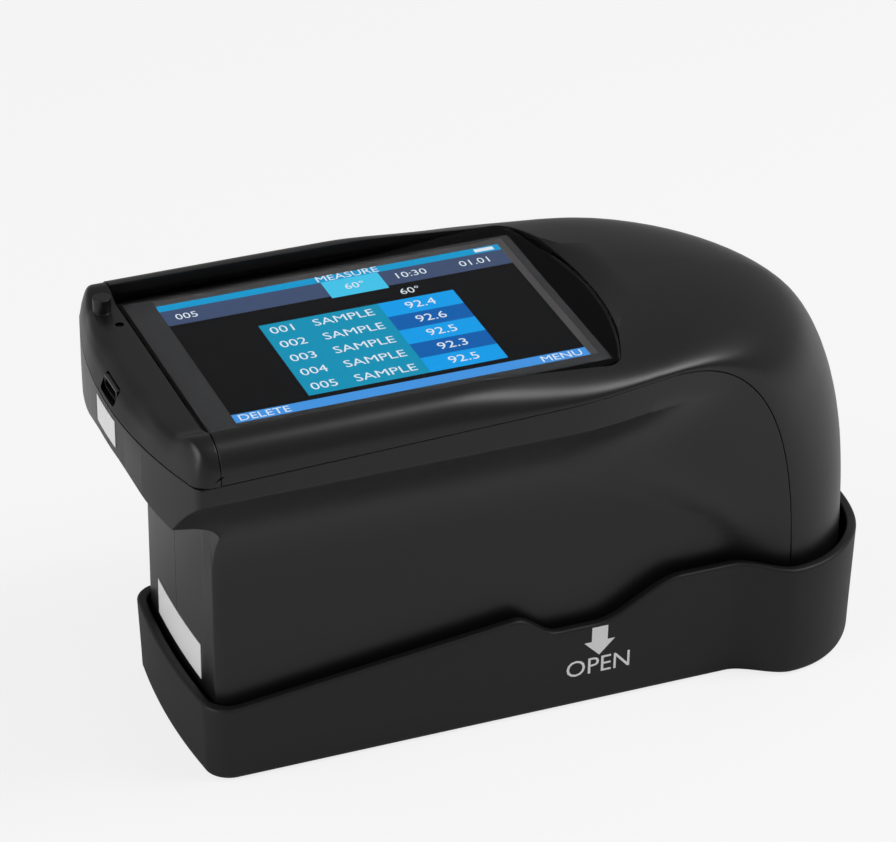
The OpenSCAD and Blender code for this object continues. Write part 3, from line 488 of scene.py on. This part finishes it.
def lit(name, colour):
    """A lit field of the screen, with its fine lines of pixels."""
    material, n, link, shader = new_material(name)
    shader.inputs["Base Color"].default_value = (0.002, 0.002, 0.002, 1)
    shader.inputs["Roughness"].default_value = 0.5
    shader.inputs["Specular IOR Level"].default_value = 0.02
    place = n.new("ShaderNodeTexCoord")
    rows = n.new("ShaderNodeTexWave")
    rows.bands_direction = "Y"
    rows.inputs["Scale"].default_value = 1050
    link(place.outputs["Object"], rows.inputs["Vector"])
    dim = n.new("ShaderNodeMapRange")
    dim.inputs["To Min"].default_value = 0.94
    dim.inputs["To Max"].default_value = 1.0
    link(rows.outputs["Fac"], dim.inputs["Value"])
    scale = n.new("ShaderNodeVectorMath")
    scale.operation = "SCALE"
    scale.inputs[0].default_value = colour[:3]
    link(dim.outputs["Result"], scale.inputs["Scale"])
    link(scale.outputs["Vector"], shader.inputs["Emission Color"])
    shader.inputs["Emission Strength"].default_value = 1.0
    return material


housing_black = (0.0065, 0.0064, 0.0063, 1)
shell_plastic = moulded("shell_plastic", housing_black, 0.34, grain=3000, depth=0.1, shine=0.42)
cap_plastic = moulded("cap_plastic", housing_black, 0.34, grain=3000, depth=0.1, edge=0.0003, shine=0.42)
holder_plastic = moulded(
    "holder_plastic", (0.0068, 0.0068, 0.007, 1), 0.5, grain=2200, depth=0.2, edge=0.0003, shine=0.35
)
button_plastic = moulded("button_plastic", (0.0065, 0.0065, 0.0068, 1), 0.4, edge=0.0003, shine=0.42)
frame_plastic = moulded("frame_plastic", (0.05, 0.052, 0.055, 1), 0.5, edge=0.0002)
ring_plastic = moulded("ring_plastic", (0.008, 0.008, 0.008, 1), 0.6, edge=0.0001)
foam = moulded("foam", (0.03, 0.03, 0.032, 1), 0.9, grain=1400, depth=0.8, edge=0.0001)
switch_plastic = moulded("switch_plastic", (0.4, 0.4, 0.42, 1), 0.45, edge=0.0001)
strap_rubber = moulded("strap_rubber", (0.012, 0.012, 0.012, 1), 0.7, edge=0.0001)
board_lacquer = moulded(
    "board_lacquer", (0.012, 0.1, 0.045, 1), 0.35, grain=700, depth=0.3, edge=0.0001
)
flex_film = moulded("flex_film", (0.4, 0.2, 0.04, 1), 0.3, edge=0.0001)
battery_wrap = moulded("battery_wrap", (0.03, 0.12, 0.35, 1), 0.3, grain=300, depth=0.3, edge=0.0002)
label_film = moulded(
    "label_film", (0.82, 0.82, 0.82, 1), 0.45, grain=1800, depth=0.08, edge=0.00005, wear=0
)
sensor_plastic = moulded("sensor_plastic", (0.03, 0.032, 0.05, 1), 0.25, edge=0.0001)
lamp_plastic = moulded("lamp_plastic", (0.55, 0.55, 0.5, 1), 0.2, edge=0.0001)
dark_lens = moulded("dark_lens", (0.006, 0.007, 0.006, 1), 0.12, edge=0.0001, wear=0)
printed_white = moulded("printed_white", (0.8, 0.8, 0.8, 1), 0.55, edge=0.00002, wear=0)
# The screen's bezel grey is lighter than its own tone: painted light, standing in for the light that the
# window glass keeps off it.
bezel_grey_with_painted_light = moulded("bezel_grey_with_painted_light", tone(96, 93, 93), 0.6, edge=0.00005, wear=0, shine=0.1)
# The window print's grey is lighter than its own dark tone: painted light, standing in for the light that
# the window glass keeps off it.
mask_grey_with_painted_light = moulded("mask_grey_with_painted_light", tone(66, 66, 67), 0.5, edge=0.00002, wear=0, shine=0.1)
tile_glass = moulded(
    "tile_glass", (0.003, 0.003, 0.0035, 1), 0.04, depth=0, edge=0.0002, handling=0.02, wear=0
)
steel = metal("steel", (0.5, 0.5, 0.52, 1), 0.32, (1, 1, 1))
socket_steel = metal("socket_steel", (0.12, 0.12, 0.125, 1), 0.35)
aluminium = metal("aluminium", (0.55, 0.56, 0.58, 1), 0.36, (14, 1, 1))
window_glass = glass("window_glass", (0.9, 0.91, 0.92, 1), 0.0, 1.12)
lens_glass = glass("lens_glass", (0.93, 0.97, 0.98, 1), 0.0, 1.52)

CAD_FINISH = {
    "tile_pad": foam, "calibration_tile": tile_glass, "tile_frame": frame_plastic,
    "base_plate": aluminium, "opening_ring": ring_plastic, "display_lens": window_glass,
    "display_seal": foam, "lcd_module": mask_grey_with_painted_light, "display_frame": frame_plastic,
    # lcd_module takes the window print's grey, with its painted light.
    "display_flex": flex_film, "main_board": board_lacquer, "buzzer": ring_plastic,
    "io_board": board_lacquer, "usb_socket": socket_steel, "power_switch": switch_plastic,
    "status_led": dark_lens, "power_button": button_plastic, "measure_board": board_lacquer,
    "measure_switch": switch_plastic, "measure_button": button_plastic, "battery": battery_wrap,
    "battery_tray": frame_plastic, "battery_strap": strap_rubber, "optical_block": aluminium,
    "light_source": lamp_plastic, "source_slit": aluminium, "source_lens": lens_glass,
    "receiver_lens": lens_glass, "receiver_slit": aluminium, "detector": sensor_plastic,
    "source_board": board_lacquer, "detector_board": board_lacquer,
    "rear_label": label_film, "lower_label": label_film,
}
for node_name, obj in nodes.items():
    finish = CAD_FINISH.get(node_name, steel if node_name.endswith("_screws") else shell_plastic)
    for slot in obj.material_slots:
        slot.material = finish


# Upper shell
def quarter(n, t):
    """A point on a quarter of a superellipse, from its top at t = 0 to its side at t = 1."""
    a = math.pi / 2 * t
    return math.sin(a) ** (2 / n), max(0.0, math.cos(a)) ** (2 / n)


def seam_turn(t, inset):
    across, up = quarter(seam_n, t)
    return seam_x + (seam_a - inset) * across, seam_base_z + (seam_b - inset) * up


def seam_point(t):
    if t <= 1:
        x = mix(-rail_rear, seam_x, t)
        return x, seam_line(x)
    return seam_turn(t - 1, 0)


def crest_point(t):
    if t <= 1:
        return mix(-rail_rear, crest_x, t), top_z - crest_fall * smooth((t - 0.3) / 0.7)
    across, up = quarter(crest_n, t - 1)
    return crest_x + (nose_tip - crest_x) * across, crest_z + (top_z - crest_fall - crest_z) * up


def fan_ring(t, inset, under):
    """A section of the upper shell, from the near parting line over the crest to the far one."""
    s = seam_point(t)
    c = crest_point(t)
    w = half_width(s[0], s[1])
    d = math.dist(s, c)
    ux = (c[0] - s[0]) / d
    uz = (c[1] - s[1]) / d
    arch = smooth((t - arch_from) / (arch_to - arch_from))
    power = 2 / mix(2, arch_n, arch * (1 - smooth((t - 1.55) / 0.4)))
    corner_y = mix(corner_start, w - 0.01, arch)
    corner_z = min(d - 0.4, mix(corner_start * d / abs(c[1] - s[1]), d - 0.4, smooth((t - 1) / 0.3)))
    cy = max(corner_y, inset + 0.4)
    cz = max(corner_z, inset + 0.4)
    h = d - cz
    half = [(w - inset, -under)]
    half += [(w - inset, h * k / 3) for k in range(3)]
    for a in steps(0, math.pi / 2, 18):
        half.append((
            w - cy + (cy - inset) * max(0.0, math.cos(a)) ** power,
            h + (cz - inset) * math.sin(a) ** power,
        ))
    half += [((w - cy) * (1 - k / 6), d - inset) for k in (0.06, 1, 2, 3, 4, 5)]
    both = [(-y, v) for y, v in half] + [(y, v) for y, v in reversed(half)]
    return [(s[0] + ux * v, y, s[1] + uz * v) for y, v in both]


def fan_skin(name, inset, under, past):
    rings = [fan_ring(t, inset, under) for t in steps(0, 1, 40) + steps(1, 2, 90)[1:]]
    if past:
        rings.insert(0, [(p[0] - past, p[1], p[2]) for p in rings[0]])
    rings.append([(p[0], p[1], base_z - past) for p in rings[-1]])
    return skin(name, rings)


def lens_outline(grow):
    """Outline of the display window: square at the rear, bowed at the front with rounded corners."""
    r = lens_corner
    half = lens_w / 2
    cx = lens_tip - lens_r
    corner_y = half - r
    corner_x = cx + math.sqrt((lens_r - r) ** 2 - corner_y ** 2)
    low_a = math.atan2(corner_y, corner_x - cx)
    points = [(-lens_rear - grow, half + grow), (-lens_rear / 2, half + grow)]
    for a in steps(math.pi / 2, low_a, 12):
        points.append((corner_x + (r + grow) * math.cos(a), corner_y + (r + grow) * math.sin(a)))
    for a in steps(low_a, -low_a, 60)[1:-1]:
        points.append((cx + (lens_r + grow) * math.cos(a), (lens_r + grow) * math.sin(a)))
    for a in steps(-low_a, -math.pi / 2, 12):
        points.append((corner_x + (r + grow) * math.cos(a), -corner_y + (r + grow) * math.sin(a)))
    points += [(-lens_rear / 2, -half - grow), (-lens_rear - grow, -half - grow)]
    return points


def bevel_cutter():
    """The shallow cone that eases the shell in front of the window."""
    tip = lens_tip + 4.5
    radius = 48.0
    rings = []
    for h, r in ((0, radius - tip + lens_tip), (8, radius + 10.5)):
        rings.append([
            (tip - radius + r * math.cos(a), r * math.sin(a), lens_z + h)
            for a in steps(0, 2 * math.pi, 360)[:-1]
        ])
    cone = skin("bevel", rings)
    side = lens_w / 2 + lens_gap
    return combine(cone, block("side", (-20, -side, lens_z - 1), (60, side, lens_z + 19)), "INTERSECT")


def make_upper_shell():
    hollow = fan_skin("hollow", wall, 3, 4)
    cut(hollow, prism("tub", lens_outline(lens_gap + 1.2), tub_z, 100))
    shell = fan_skin("upper_shell_skin", 0, 0, 0)
    cut(shell, hollow)
    cut(shell, prism("pocket", lens_outline(lens_gap), seal_z, 100))
    cut(shell, bevel_cutter())
    side = lens_w / 2 + lens_gap
    cut(shell, block("rear_room", (-rail_rear - 1, -side, seal_z), (-lens_rear, side, 100)))
    cut(shell, block("screen_room", (-68.5, -27.4, tub_z - 1), (14.3, 27.4, 100)))
    soften(shell)
    finish_piece(shell, shell_plastic, "meter", "shell_plastic", "upper_shell")


# Lower shells
def corner_cut(x, z, inset):
    """How far the rounded rear corners of the grip stand back from its side."""
    r = foot_rear_r - inset
    e = min(r, max(0.0, foot_rear_r - x - grip_rear))
    return (r - math.sqrt(r ** 2 - e ** 2)) * (1 - smooth((z - hook_low + 10) / 10))


def side_ring(x, inset):
    heights = steps(base_z - 5, rim_front - 6, 3) + steps(rim_front - 6, flare_z - 3, 8)[1:]
    heights += steps(flare_z - 3, flare_top, 34)[1:] + steps(flare_top, seam_front_z + 4, 4)[1:]
    near = [(x, -(half_width(x, z) - inset - corner_cut(x, z, inset)), z) for z in heights]
    return near + [(x, -y, z) for x, y, z in reversed(near)]


def side_skin(name, inset):
    places = [-head_rear - 6] + [foot_rear_r * (i / 8) ** 2 - grip_rear for i in range(9)] + [-40]
    places += steps(nose_from - 2, seam_x + seam_a + 1, 52)
    return skin(name, [side_ring(x, inset) for x in places])


def hook_outline(inset):
    """Side view of the head's underside, with the grip's rear wall below it."""
    o = inset
    rear = -head_rear
    grip = -grip_rear
    bend = through([
        (rear + 0.4 + o, 67.5 + o), (rear + 1.4 + o, 65.1 + o), (rear + 3.4, 63.7 + o),
        (rear + 8.5, hook_low + 2.2 + o), (grip - 0.6 + o, hook_low + o),
        (grip + 1.4 + o, hook_low - 3 + o), (grip + 2.2 + o, hook_low - 7 + o),
    ], 6)
    return [(rear - 5, 100), (rear - 5, 69.5 + o)] + bend + [(grip + 2.2 + o, 40), (100, 40), (100, 100)]


def head_outline(inset):
    """The head seen from above: a bowed rear end with small corners."""
    side = head_w / 2 + 0.4 - inset
    radius = head_bow_r - inset
    cx = head_bow_r - head_rear
    r = max(0.3, head_corner - inset)
    corner_y = side - r
    corner_x = cx - math.sqrt((radius - r) ** 2 - corner_y ** 2)
    a0 = math.atan2(corner_y, cx - corner_x)
    points = [(120, -side)]
    for a in steps(-math.pi / 2, -a0, 8):
        points.append((corner_x - r * math.cos(a), -corner_y + r * math.sin(a)))
    for a in steps(-a0, a0, 60)[1:-1]:
        points.append((cx - radius * math.cos(a), radius * math.sin(a)))
    for a in steps(a0, math.pi / 2, 8):
        points.append((corner_x - r * math.cos(a), corner_y + r * math.sin(a)))
    points.append((120, side))
    return points


def grip_outline(inset):
    cx = grip_bow_r - grip_rear
    radius = grip_bow_r - inset
    points = [(120, -60)]
    for y in steps(-60, 60, 80):
        points.append((cx - math.sqrt(radius ** 2 - y ** 2), y))
    points.append((120, 60))
    return points


def lower_body(name, inset):
    head = prism("head", head_outline(inset), 38, 98)
    combine(head, prism("hook", hook_outline(inset), -150, 150, "y"), "INTERSECT")
    combine(head, prism("grip", grip_outline(inset), -20, hook_low), "UNION")
    body = side_skin(name, inset)
    return combine(body, head, "INTERSECT")


def panel_outline():
    """Side view of everything under and behind the parting line."""
    rear = -head_rear - 4
    points = [(rear, base_z), (rear, seam_line(rear) - joint_gap)]
    points += [seam_turn(t, joint_gap) for t in steps(0, 1, 90)]
    points.append((seam_x + seam_a - joint_gap, base_z))
    return points


def make_lower_shells():
    body = lower_body("body", 0)
    combine(body, prism("panel", panel_outline(), -150, 150, "y"), "INTERSECT")
    cut(body, lower_body("room", wall))
    for side, name in ((1, "left_shell"), (-1, "right_shell")):
        shell = copy_of(body, name + "_skin")
        half = joint_gap / 4
        keep = (half, 150) if side > 0 else (-150, -half)
        combine(shell, block("half", (-150, keep[0], -10), (150, keep[1], 150)), "INTERSECT")
        if side > 0:
            cut(shell, rod("key_bore", key_bore_r, 12, 40, key_place, "y"))
            for place in shell_screw_places:
                cut(shell, rod("screw_bore", screw_head_r, 12, 40, place, "y", 32))
        soften(shell)
        finish_piece(shell, shell_plastic, "meter", "shell_plastic", name)
    bpy.data.objects.remove(body)


# Rear cap
def cap_ring(y, inset):
    def end_drop(radius):
        e = max(0, abs(y) - (head_w / 2 - radius))
        return radius - math.sqrt(max(0, radius ** 2 - e ** 2))
    sag = head_rear - (head_bow_r - math.sqrt(head_bow_r ** 2 - y ** 2))
    r = sag - end_drop(head_corner) - inset
    shoulder = (top_z - 0.2 - cap_top) * smooth((abs(y) - lens_w / 2 + 5) / 6)
    top = cap_top + shoulder - end_drop(corner_start) - inset
    past = 3 if inset > 0 else 0
    ridge = mix(1, 0.5, smooth((abs(y) - 8) / 14))
    profile = through([(0, 0), (1.2, 0.46), (2.2, 0.7), (3.1, 0.86), (4.2, 0.96), (5.6, 1)], 5)
    front = past - cap_front
    ring = [(front, y, seam_rear_z - past), (front, y, top)]
    ring += [(ridge * px - r, y, mix(seam_rear_z, top, pz)) for px, pz in reversed(profile)]
    ring.append((-r, y, seam_rear_z - past - 0.001))
    return ring


def cap_skin(name, inset):
    w = head_w / 2 - inset - (0.4 if inset > 0 else 0)
    return skin(name, [cap_ring(w * math.sin(math.pi / 2 * i / 40), inset) for i in range(-40, 41)])


def make_rear_cap():
    cap = cap_skin("rear_cap_skin", 0)
    cut(cap, cap_skin("cap_room", wall))
    above = cap_top + 3
    cut(cap, rod("recess", power_recess_r, cap_top - 0.7, above, power_place))
    cut(cap, rod("bore", power_bore_r, cap_top - 6, above, power_place))
    cut(cap, rod("lamp_bore", lamp_r, cap_top - 6, above, lamp_place, sides=32))
    port = block(
        "port",
        (-86, port_y - port_half_w, port_z - port_half_h),
        (-74, port_y + port_half_w, port_z + port_half_h),
    )
    select_only(port)
    bpy.ops.object.mode_set(mode="EDIT")
    bpy.ops.mesh.select_mode(type="EDGE")
    bpy.ops.mesh.select_all(action="DESELECT")
    bpy.ops.object.mode_set(mode="OBJECT")
    for edge in port.data.edges:
        ends = [port.data.vertices[i].co for i in edge.vertices]
        edge.select = abs(ends[0].x - ends[1].x) > 0.001
    bpy.ops.object.mode_set(mode="EDIT")
    bpy.ops.mesh.bevel(offset=0.0007, segments=5)
    bpy.ops.object.mode_set(mode="OBJECT")
    cut(cap, port)
    soften(cap)
    finish_piece(cap, cap_plastic, "meter", "shell_plastic", "rear_cap")


# Base holder
holder_gap = 0.5
holder_wall = 2.1
holder_floor = 3.0
draft = math.tan(math.radians(2.5))


def rim(x):
    """Height of the holder's wavy rim over the place x."""
    dip = 19.2
    if x < -4:
        return mix(rim_rear, rim_front - 2.4, max(0, (x + 63) / 59))
    if x < 5:
        return mix(rim_front - 2.4, dip, smooth((x + 4) / 9))
    if x < 13:
        return dip
    crest = mix(dip, rim_front + 0.4, smooth((x - 13) / 19))
    return crest - smooth((x - 44) / 12) - rim_fall * smooth((x - 68) / 14)


def foot_outline(o):
    w = grip_w / 2 + o
    rr = foot_rear_r + o * 0.5
    bow = grip_bow + o * 0.3
    half = [(-grip_rear - o + bow * (y / w) ** 2, -y) for y in steps(0, w - rr, 16)]
    cx = half[-1][0] + rr
    half += [
        (cx - rr * math.cos(a), -(w - rr) - rr * math.sin(a)) for a in steps(0, math.pi / 2, 9)[1:]
    ]
    half += [(x, -w) for x in steps(cx, foot_from, 90)[1:]]
    half += [(x, -half_width(x, base_z) - o) for x in steps(foot_from, nose_x, 18)[1:]]
    nose_a = nose_tip - nose_x
    half += [
        (nose_x + (nose_a + o) * math.sin(a), -(nose_w / 2 + o) * math.cos(a))
        for a in steps(0, math.pi / 2, 40)[1:]
    ]
    return half + [(x, -y) for x, y in reversed(half[1:-1])]


def rim_ring(out, below, share=1.0):
    """A ring that follows the rim, a little below it, at a distance outside the body."""
    heights = [(rim(x) - below) * share for x, y in foot_outline(holder_gap)]
    base = foot_outline(out)
    far = foot_outline(out + 30 * draft)
    points = []
    for low, high, z in zip(base, far, heights):
        lean = z / 30
        points.append((mix(low[0], high[0], lean), mix(low[1], high[1], lean), z))
    return points


def make_holder():
    out = holder_gap + holder_wall
    rings = [[(x, y, holder_floor) for x, y in foot_outline(holder_gap + holder_floor * draft)]]
    rings += [rim_ring(holder_gap, 0.5, share) for share in (0.4, 0.7, 1.0)]
    lip = 0.5
    for a in steps(0, math.pi / 2, 5)[1:]:
        rings.append(rim_ring(holder_gap + lip * (1 - math.cos(a)), lip * (1 - math.sin(a))))
    for a in steps(math.pi / 2, 0, 6):
        rings.append(rim_ring(out - 0.7 * (1 - math.cos(a)), 0.7 * (1 - math.sin(a))))
    rings += [rim_ring(out, 0.7, share) for share in (0.75, 0.5, 0.25)]
    for a in steps(0, math.pi / 2, 6):
        drop = 1.4 * (1 - math.sin(a))
        inset = 1.3 * (1 - math.cos(a))
        rings.append([(x, y, drop) for x, y in foot_outline(out + 0.1 - inset)])
    holder = skin("holder_skin", rings)
    soften(holder, 40)
    finish_piece(holder, holder_plastic, "holder", "holder_plastic", "holder_shell")


make_upper_shell()
make_lower_shells()
make_rear_cap()
make_holder()

# Screen
picture_z = 81.82
table_columns = (-46.0, -20.8, -4.6)
table_rows = steps(9.8, -19.6, 5)
tab_columns = (-28.4, -16.2)
header_y = 22.1
tab_y = 15.2
status_y = 16.0
foot_y = -21.2
reading_size = 3.8
mark_size = 3.2

field_black = lit("field_black", tone(1, 1, 3))
field_header = lit("field_header", tone(10, 160, 215))
field_status = lit("field_status", tone(66, 82, 116))
field_tab = lit("field_tab", tone(70, 205, 245))
field_name = lit("field_name", tone(5, 152, 190))
field_bright = lit("field_bright", tone(5, 165, 245))
field_deep = lit("field_deep", tone(0, 98, 180))
field_foot = lit("field_foot", tone(70, 155, 235))
field_text = lit("field_text", tone(232, 244, 252))


def make_picture():
    """The lit face of the screen: one sheet that is cut into fields, each with its own colour."""
    rows = table_rows
    low_x, high_x = screen_rear, screen_front + 1.9
    low_y, high_y = -screen_side, screen_side + 2.3
    fresh()
    bpy.ops.mesh.primitive_plane_add(size=1)
    sheet = bpy.context.object
    sheet.name = "screen_picture"
    for v in sheet.data.vertices:
        v.co = metres((
            mix(low_x, high_x, v.co.x + 0.5), mix(low_y, high_y, v.co.y + 0.5), picture_z
        ))
    select_only(sheet)
    bpy.ops.object.mode_set(mode="EDIT")
    for x in (screen_front,) + tab_columns + table_columns:
        bpy.ops.mesh.select_all(action="SELECT")
        bpy.ops.mesh.bisect(plane_co=metres((x, 0, 0)), plane_no=(1, 0, 0))
    for y in [screen_side, header_y, status_y, tab_y, foot_y] + rows:
        bpy.ops.mesh.select_all(action="SELECT")
        bpy.ops.mesh.bisect(plane_co=metres((0, y, 0)), plane_no=(0, 1, 0))
    bpy.ops.object.mode_set(mode="OBJECT")
    shades = [
        field_black, bezel_grey_with_painted_light, field_header, field_status, field_tab, field_name,
        field_bright, field_deep, field_foot,
    ]
    for shade in shades:
        sheet.data.materials.append(shade)
    for face in sheet.data.polygons:
        x = face.center.x * 1000
        y = face.center.y * 1000
        shade = field_black
        # The bezel's grey holds painted light for the light that the window glass keeps off it.
        if x > screen_front or y > screen_side:
            shade = bezel_grey_with_painted_light
        elif y > header_y:
            shade = field_header
        elif y > tab_y and tab_columns[0] < x < tab_columns[1]:
            shade = field_tab
        elif y > status_y:
            shade = field_status
        elif y < foot_y:
            shade = field_foot
        elif table_columns[0] < x < table_columns[2] and rows[-1] < y < rows[0]:
            row = int((rows[0] - y) / (rows[0] - rows[1]))
            if x < table_columns[1]:
                shade = field_name
            else:
                shade = field_bright if row % 2 == 0 else field_deep
        face.material_index = shades.index(shade)
    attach(sheet, "meter")


def lettering(name, words, size, material, place, body, slot, turn=None):
    """Flat lettering, one line for each (text, x, y, align) in words, laid out in its own plane."""
    lines = []
    for text, x, y, align in words:
        fresh()
        bpy.ops.object.text_add()
        line = bpy.context.object
        line.data.body = text
        line.data.size = size / 1000
        line.data.align_x = align
        line.data.align_y = "CENTER"
        line.data.resolution_u = 3
        bpy.ops.object.convert(target="MESH")
        line = bpy.context.object
        line.data.transform(Matrix.Translation(metres((x, y, 0))))
        lines.append(line)
    fresh()
    for line in lines:
        line.select_set(True)
    bpy.context.view_layer.objects.active = lines[0]
    if len(lines) > 1:
        bpy.ops.object.join()
    piece = bpy.context.object
    piece.name = name
    frame_matrix = Matrix.Translation(metres(place))
    if turn is not None:
        frame_matrix = frame_matrix @ turn
    piece.data.transform(frame_matrix)
    piece.matrix_world = Matrix.Identity(4)
    finish_piece(piece, material, body, slot)


def make_screen_text():
    words = []
    readings = ("92.4", "92.6", "92.5", "92.3", "92.5")
    for i, reading in enumerate(readings):
        y = (table_rows[i] + table_rows[i + 1]) / 2
        words.append((f"00{i + 1}", -44.6, y, "LEFT"))
        words.append(("SAMPLE", -22.6, y, "RIGHT"))
        words.append((reading, -12.7, y, "CENTER"))
    level = (0, 0, picture_z + 0.02)
    lettering("screen_readings", words, reading_size, field_text, level, "meter", "screen")
    small = [
        ("MEASURE", -22.3, 23.3, "CENTER"), ("60°", -22.3, 18.6, "CENTER"),
        ("60°", -12.7, 12.6, "CENTER"), ("005", -60.2, 18.9, "LEFT"),
        ("10:30", -10.2, 19.1, "CENTER"), ("01.01", 4.0, 19.1, "CENTER"),
        ("DELETE", -61.6, -22.9, "LEFT"), ("MENU", 9.8, -22.9, "RIGHT"),
    ]
    lettering("screen_marks", small, mark_size, field_text, level, "meter", "screen")
    charge = block("screen_charge", (5.4, 22.7, picture_z + 0.01), (9.6, 24.0, picture_z + 0.02))
    finish_piece(charge, field_text, "meter", "screen")


def make_mask():
    """The dark print behind the window's border, in a grey made lighter as painted light for the light
    that the glass keeps off it.
    """
    mask = prism("window_mask", lens_outline(-0.25), 81.85, 81.89)
    cut(mask, block("view", (screen_rear, -screen_side, 80), (screen_front + 1.7, screen_side + 2.1, 84)))
    finish_piece(mask, mask_grey_with_painted_light, "meter", "window_glass")


make_picture()
make_screen_text()
make_mask()


# Print on the holder
def make_open_mark():
    """The arrow and the word OPEN on the holder's near side."""
    turn = Matrix.Rotation(math.pi / 2 + math.atan(draft), 4, "X")
    wall_y = -(grip_w / 2 + holder_gap + holder_wall) - 0.04
    lettering("open_word", [("OPEN", 0, 0, "CENTER")], 5.6, printed_white,
              (13.9, wall_y - 9.0 * draft, 9.0), "holder", "label_film", turn)
    fresh()
    bpy.ops.mesh.primitive_circle_add(vertices=7, radius=1, fill_type="NGON")
    arrow = bpy.context.object
    arrow.name = "open_arrow"
    outline = [(-1.75, 3.6), (-1.75, 0.1), (-3.4, 0.1), (0, -3.4), (3.4, 0.1), (1.75, 0.1), (1.75, 3.6)]
    for v, (x, y) in zip(arrow.data.vertices, outline):
        v.co = metres((x, y, 0))
    arrow.data.transform(Matrix.Translation(metres((13.95, wall_y - 15.0 * draft, 15.0))) @ turn)
    arrow.matrix_world = Matrix.Identity(4)
    finish_piece(arrow, printed_white, "holder", "label_film")


make_open_mark()


# Floor, light and world
def make_studio():
    fresh()
    bpy.ops.mesh.primitive_plane_add(size=6)
    floor = bpy.context.object
    floor.name = "floor"
    floor.data.transform(Matrix.Translation((0, 0, -0.0002)))
    material, n, link, shader = new_material("floor_white")
    shader.inputs["Base Color"].default_value = (0.82, 0.82, 0.82, 1)
    shader.inputs["Roughness"].default_value = 0.9
    shader.inputs["Specular IOR Level"].default_value = 0.1
    glow = n.new("ShaderNodeEmission")
    glow.inputs["Color"].default_value = (1, 1, 1, 1)
    path = n.new("ShaderNodeLightPath")
    share = n.new("ShaderNodeMath")
    share.operation = "MULTIPLY"
    share.inputs[1].default_value = 0.8
    link(path.outputs["Is Camera Ray"], share.inputs[0])
    join = n.new("ShaderNodeMixShader")
    link(share.outputs[0], join.inputs[0])
    link(shader.outputs[0], join.inputs[1])
    link(glow.outputs[0], join.inputs[2])
    link(join.outputs[0], n["Material Output"].inputs["Surface"])
    floor.data.materials.append(material)

    for name, place, size, power, aim in (
        ("top_softbox", (0.5, -0.22, 0.72), (0.3, 0.5), 4, (0, 0, 0.05)),
        ("rear_softbox", (-0.8, -0.1, 0.35), (0.5, 0.6), 3, (-0.05, 0, 0.05)),
    ):
        fresh()
        bpy.ops.object.light_add(type="AREA", location=place)
        lamp = bpy.context.object
        lamp.name = name
        lamp.data.shape = "RECTANGLE"
        lamp.data.size = size[0]
        lamp.data.size_y = size[1]
        lamp.data.energy = power
        lamp.rotation_euler = (Vector(place) - Vector(aim)).to_track_quat("Z", "Y").to_euler()

    world = bpy.data.worlds.new("studio")
    bpy.context.scene.world = world
    world.use_nodes = True
    n = world.node_tree.nodes
    link = world.node_tree.links.new
    plain = n["Background"]
    plain.inputs["Color"].default_value = (1, 1, 1, 1)
    plain.inputs["Strength"].default_value = 0.3
    white = n.new("ShaderNodeBackground")
    white.inputs["Color"].default_value = (1, 1, 1, 1)
    path = n.new("ShaderNodeLightPath")
    join = n.new("ShaderNodeMixShader")
    link(path.outputs["Is Camera Ray"], join.inputs[0])
    link(plain.outputs[0], join.inputs[1])
    link(white.outputs[0], join.inputs[2])
    link(join.outputs[0], n["World Output"].inputs["Surface"])


make_studio()
bpy.context.scene.view_settings.view_transform = "Standard"
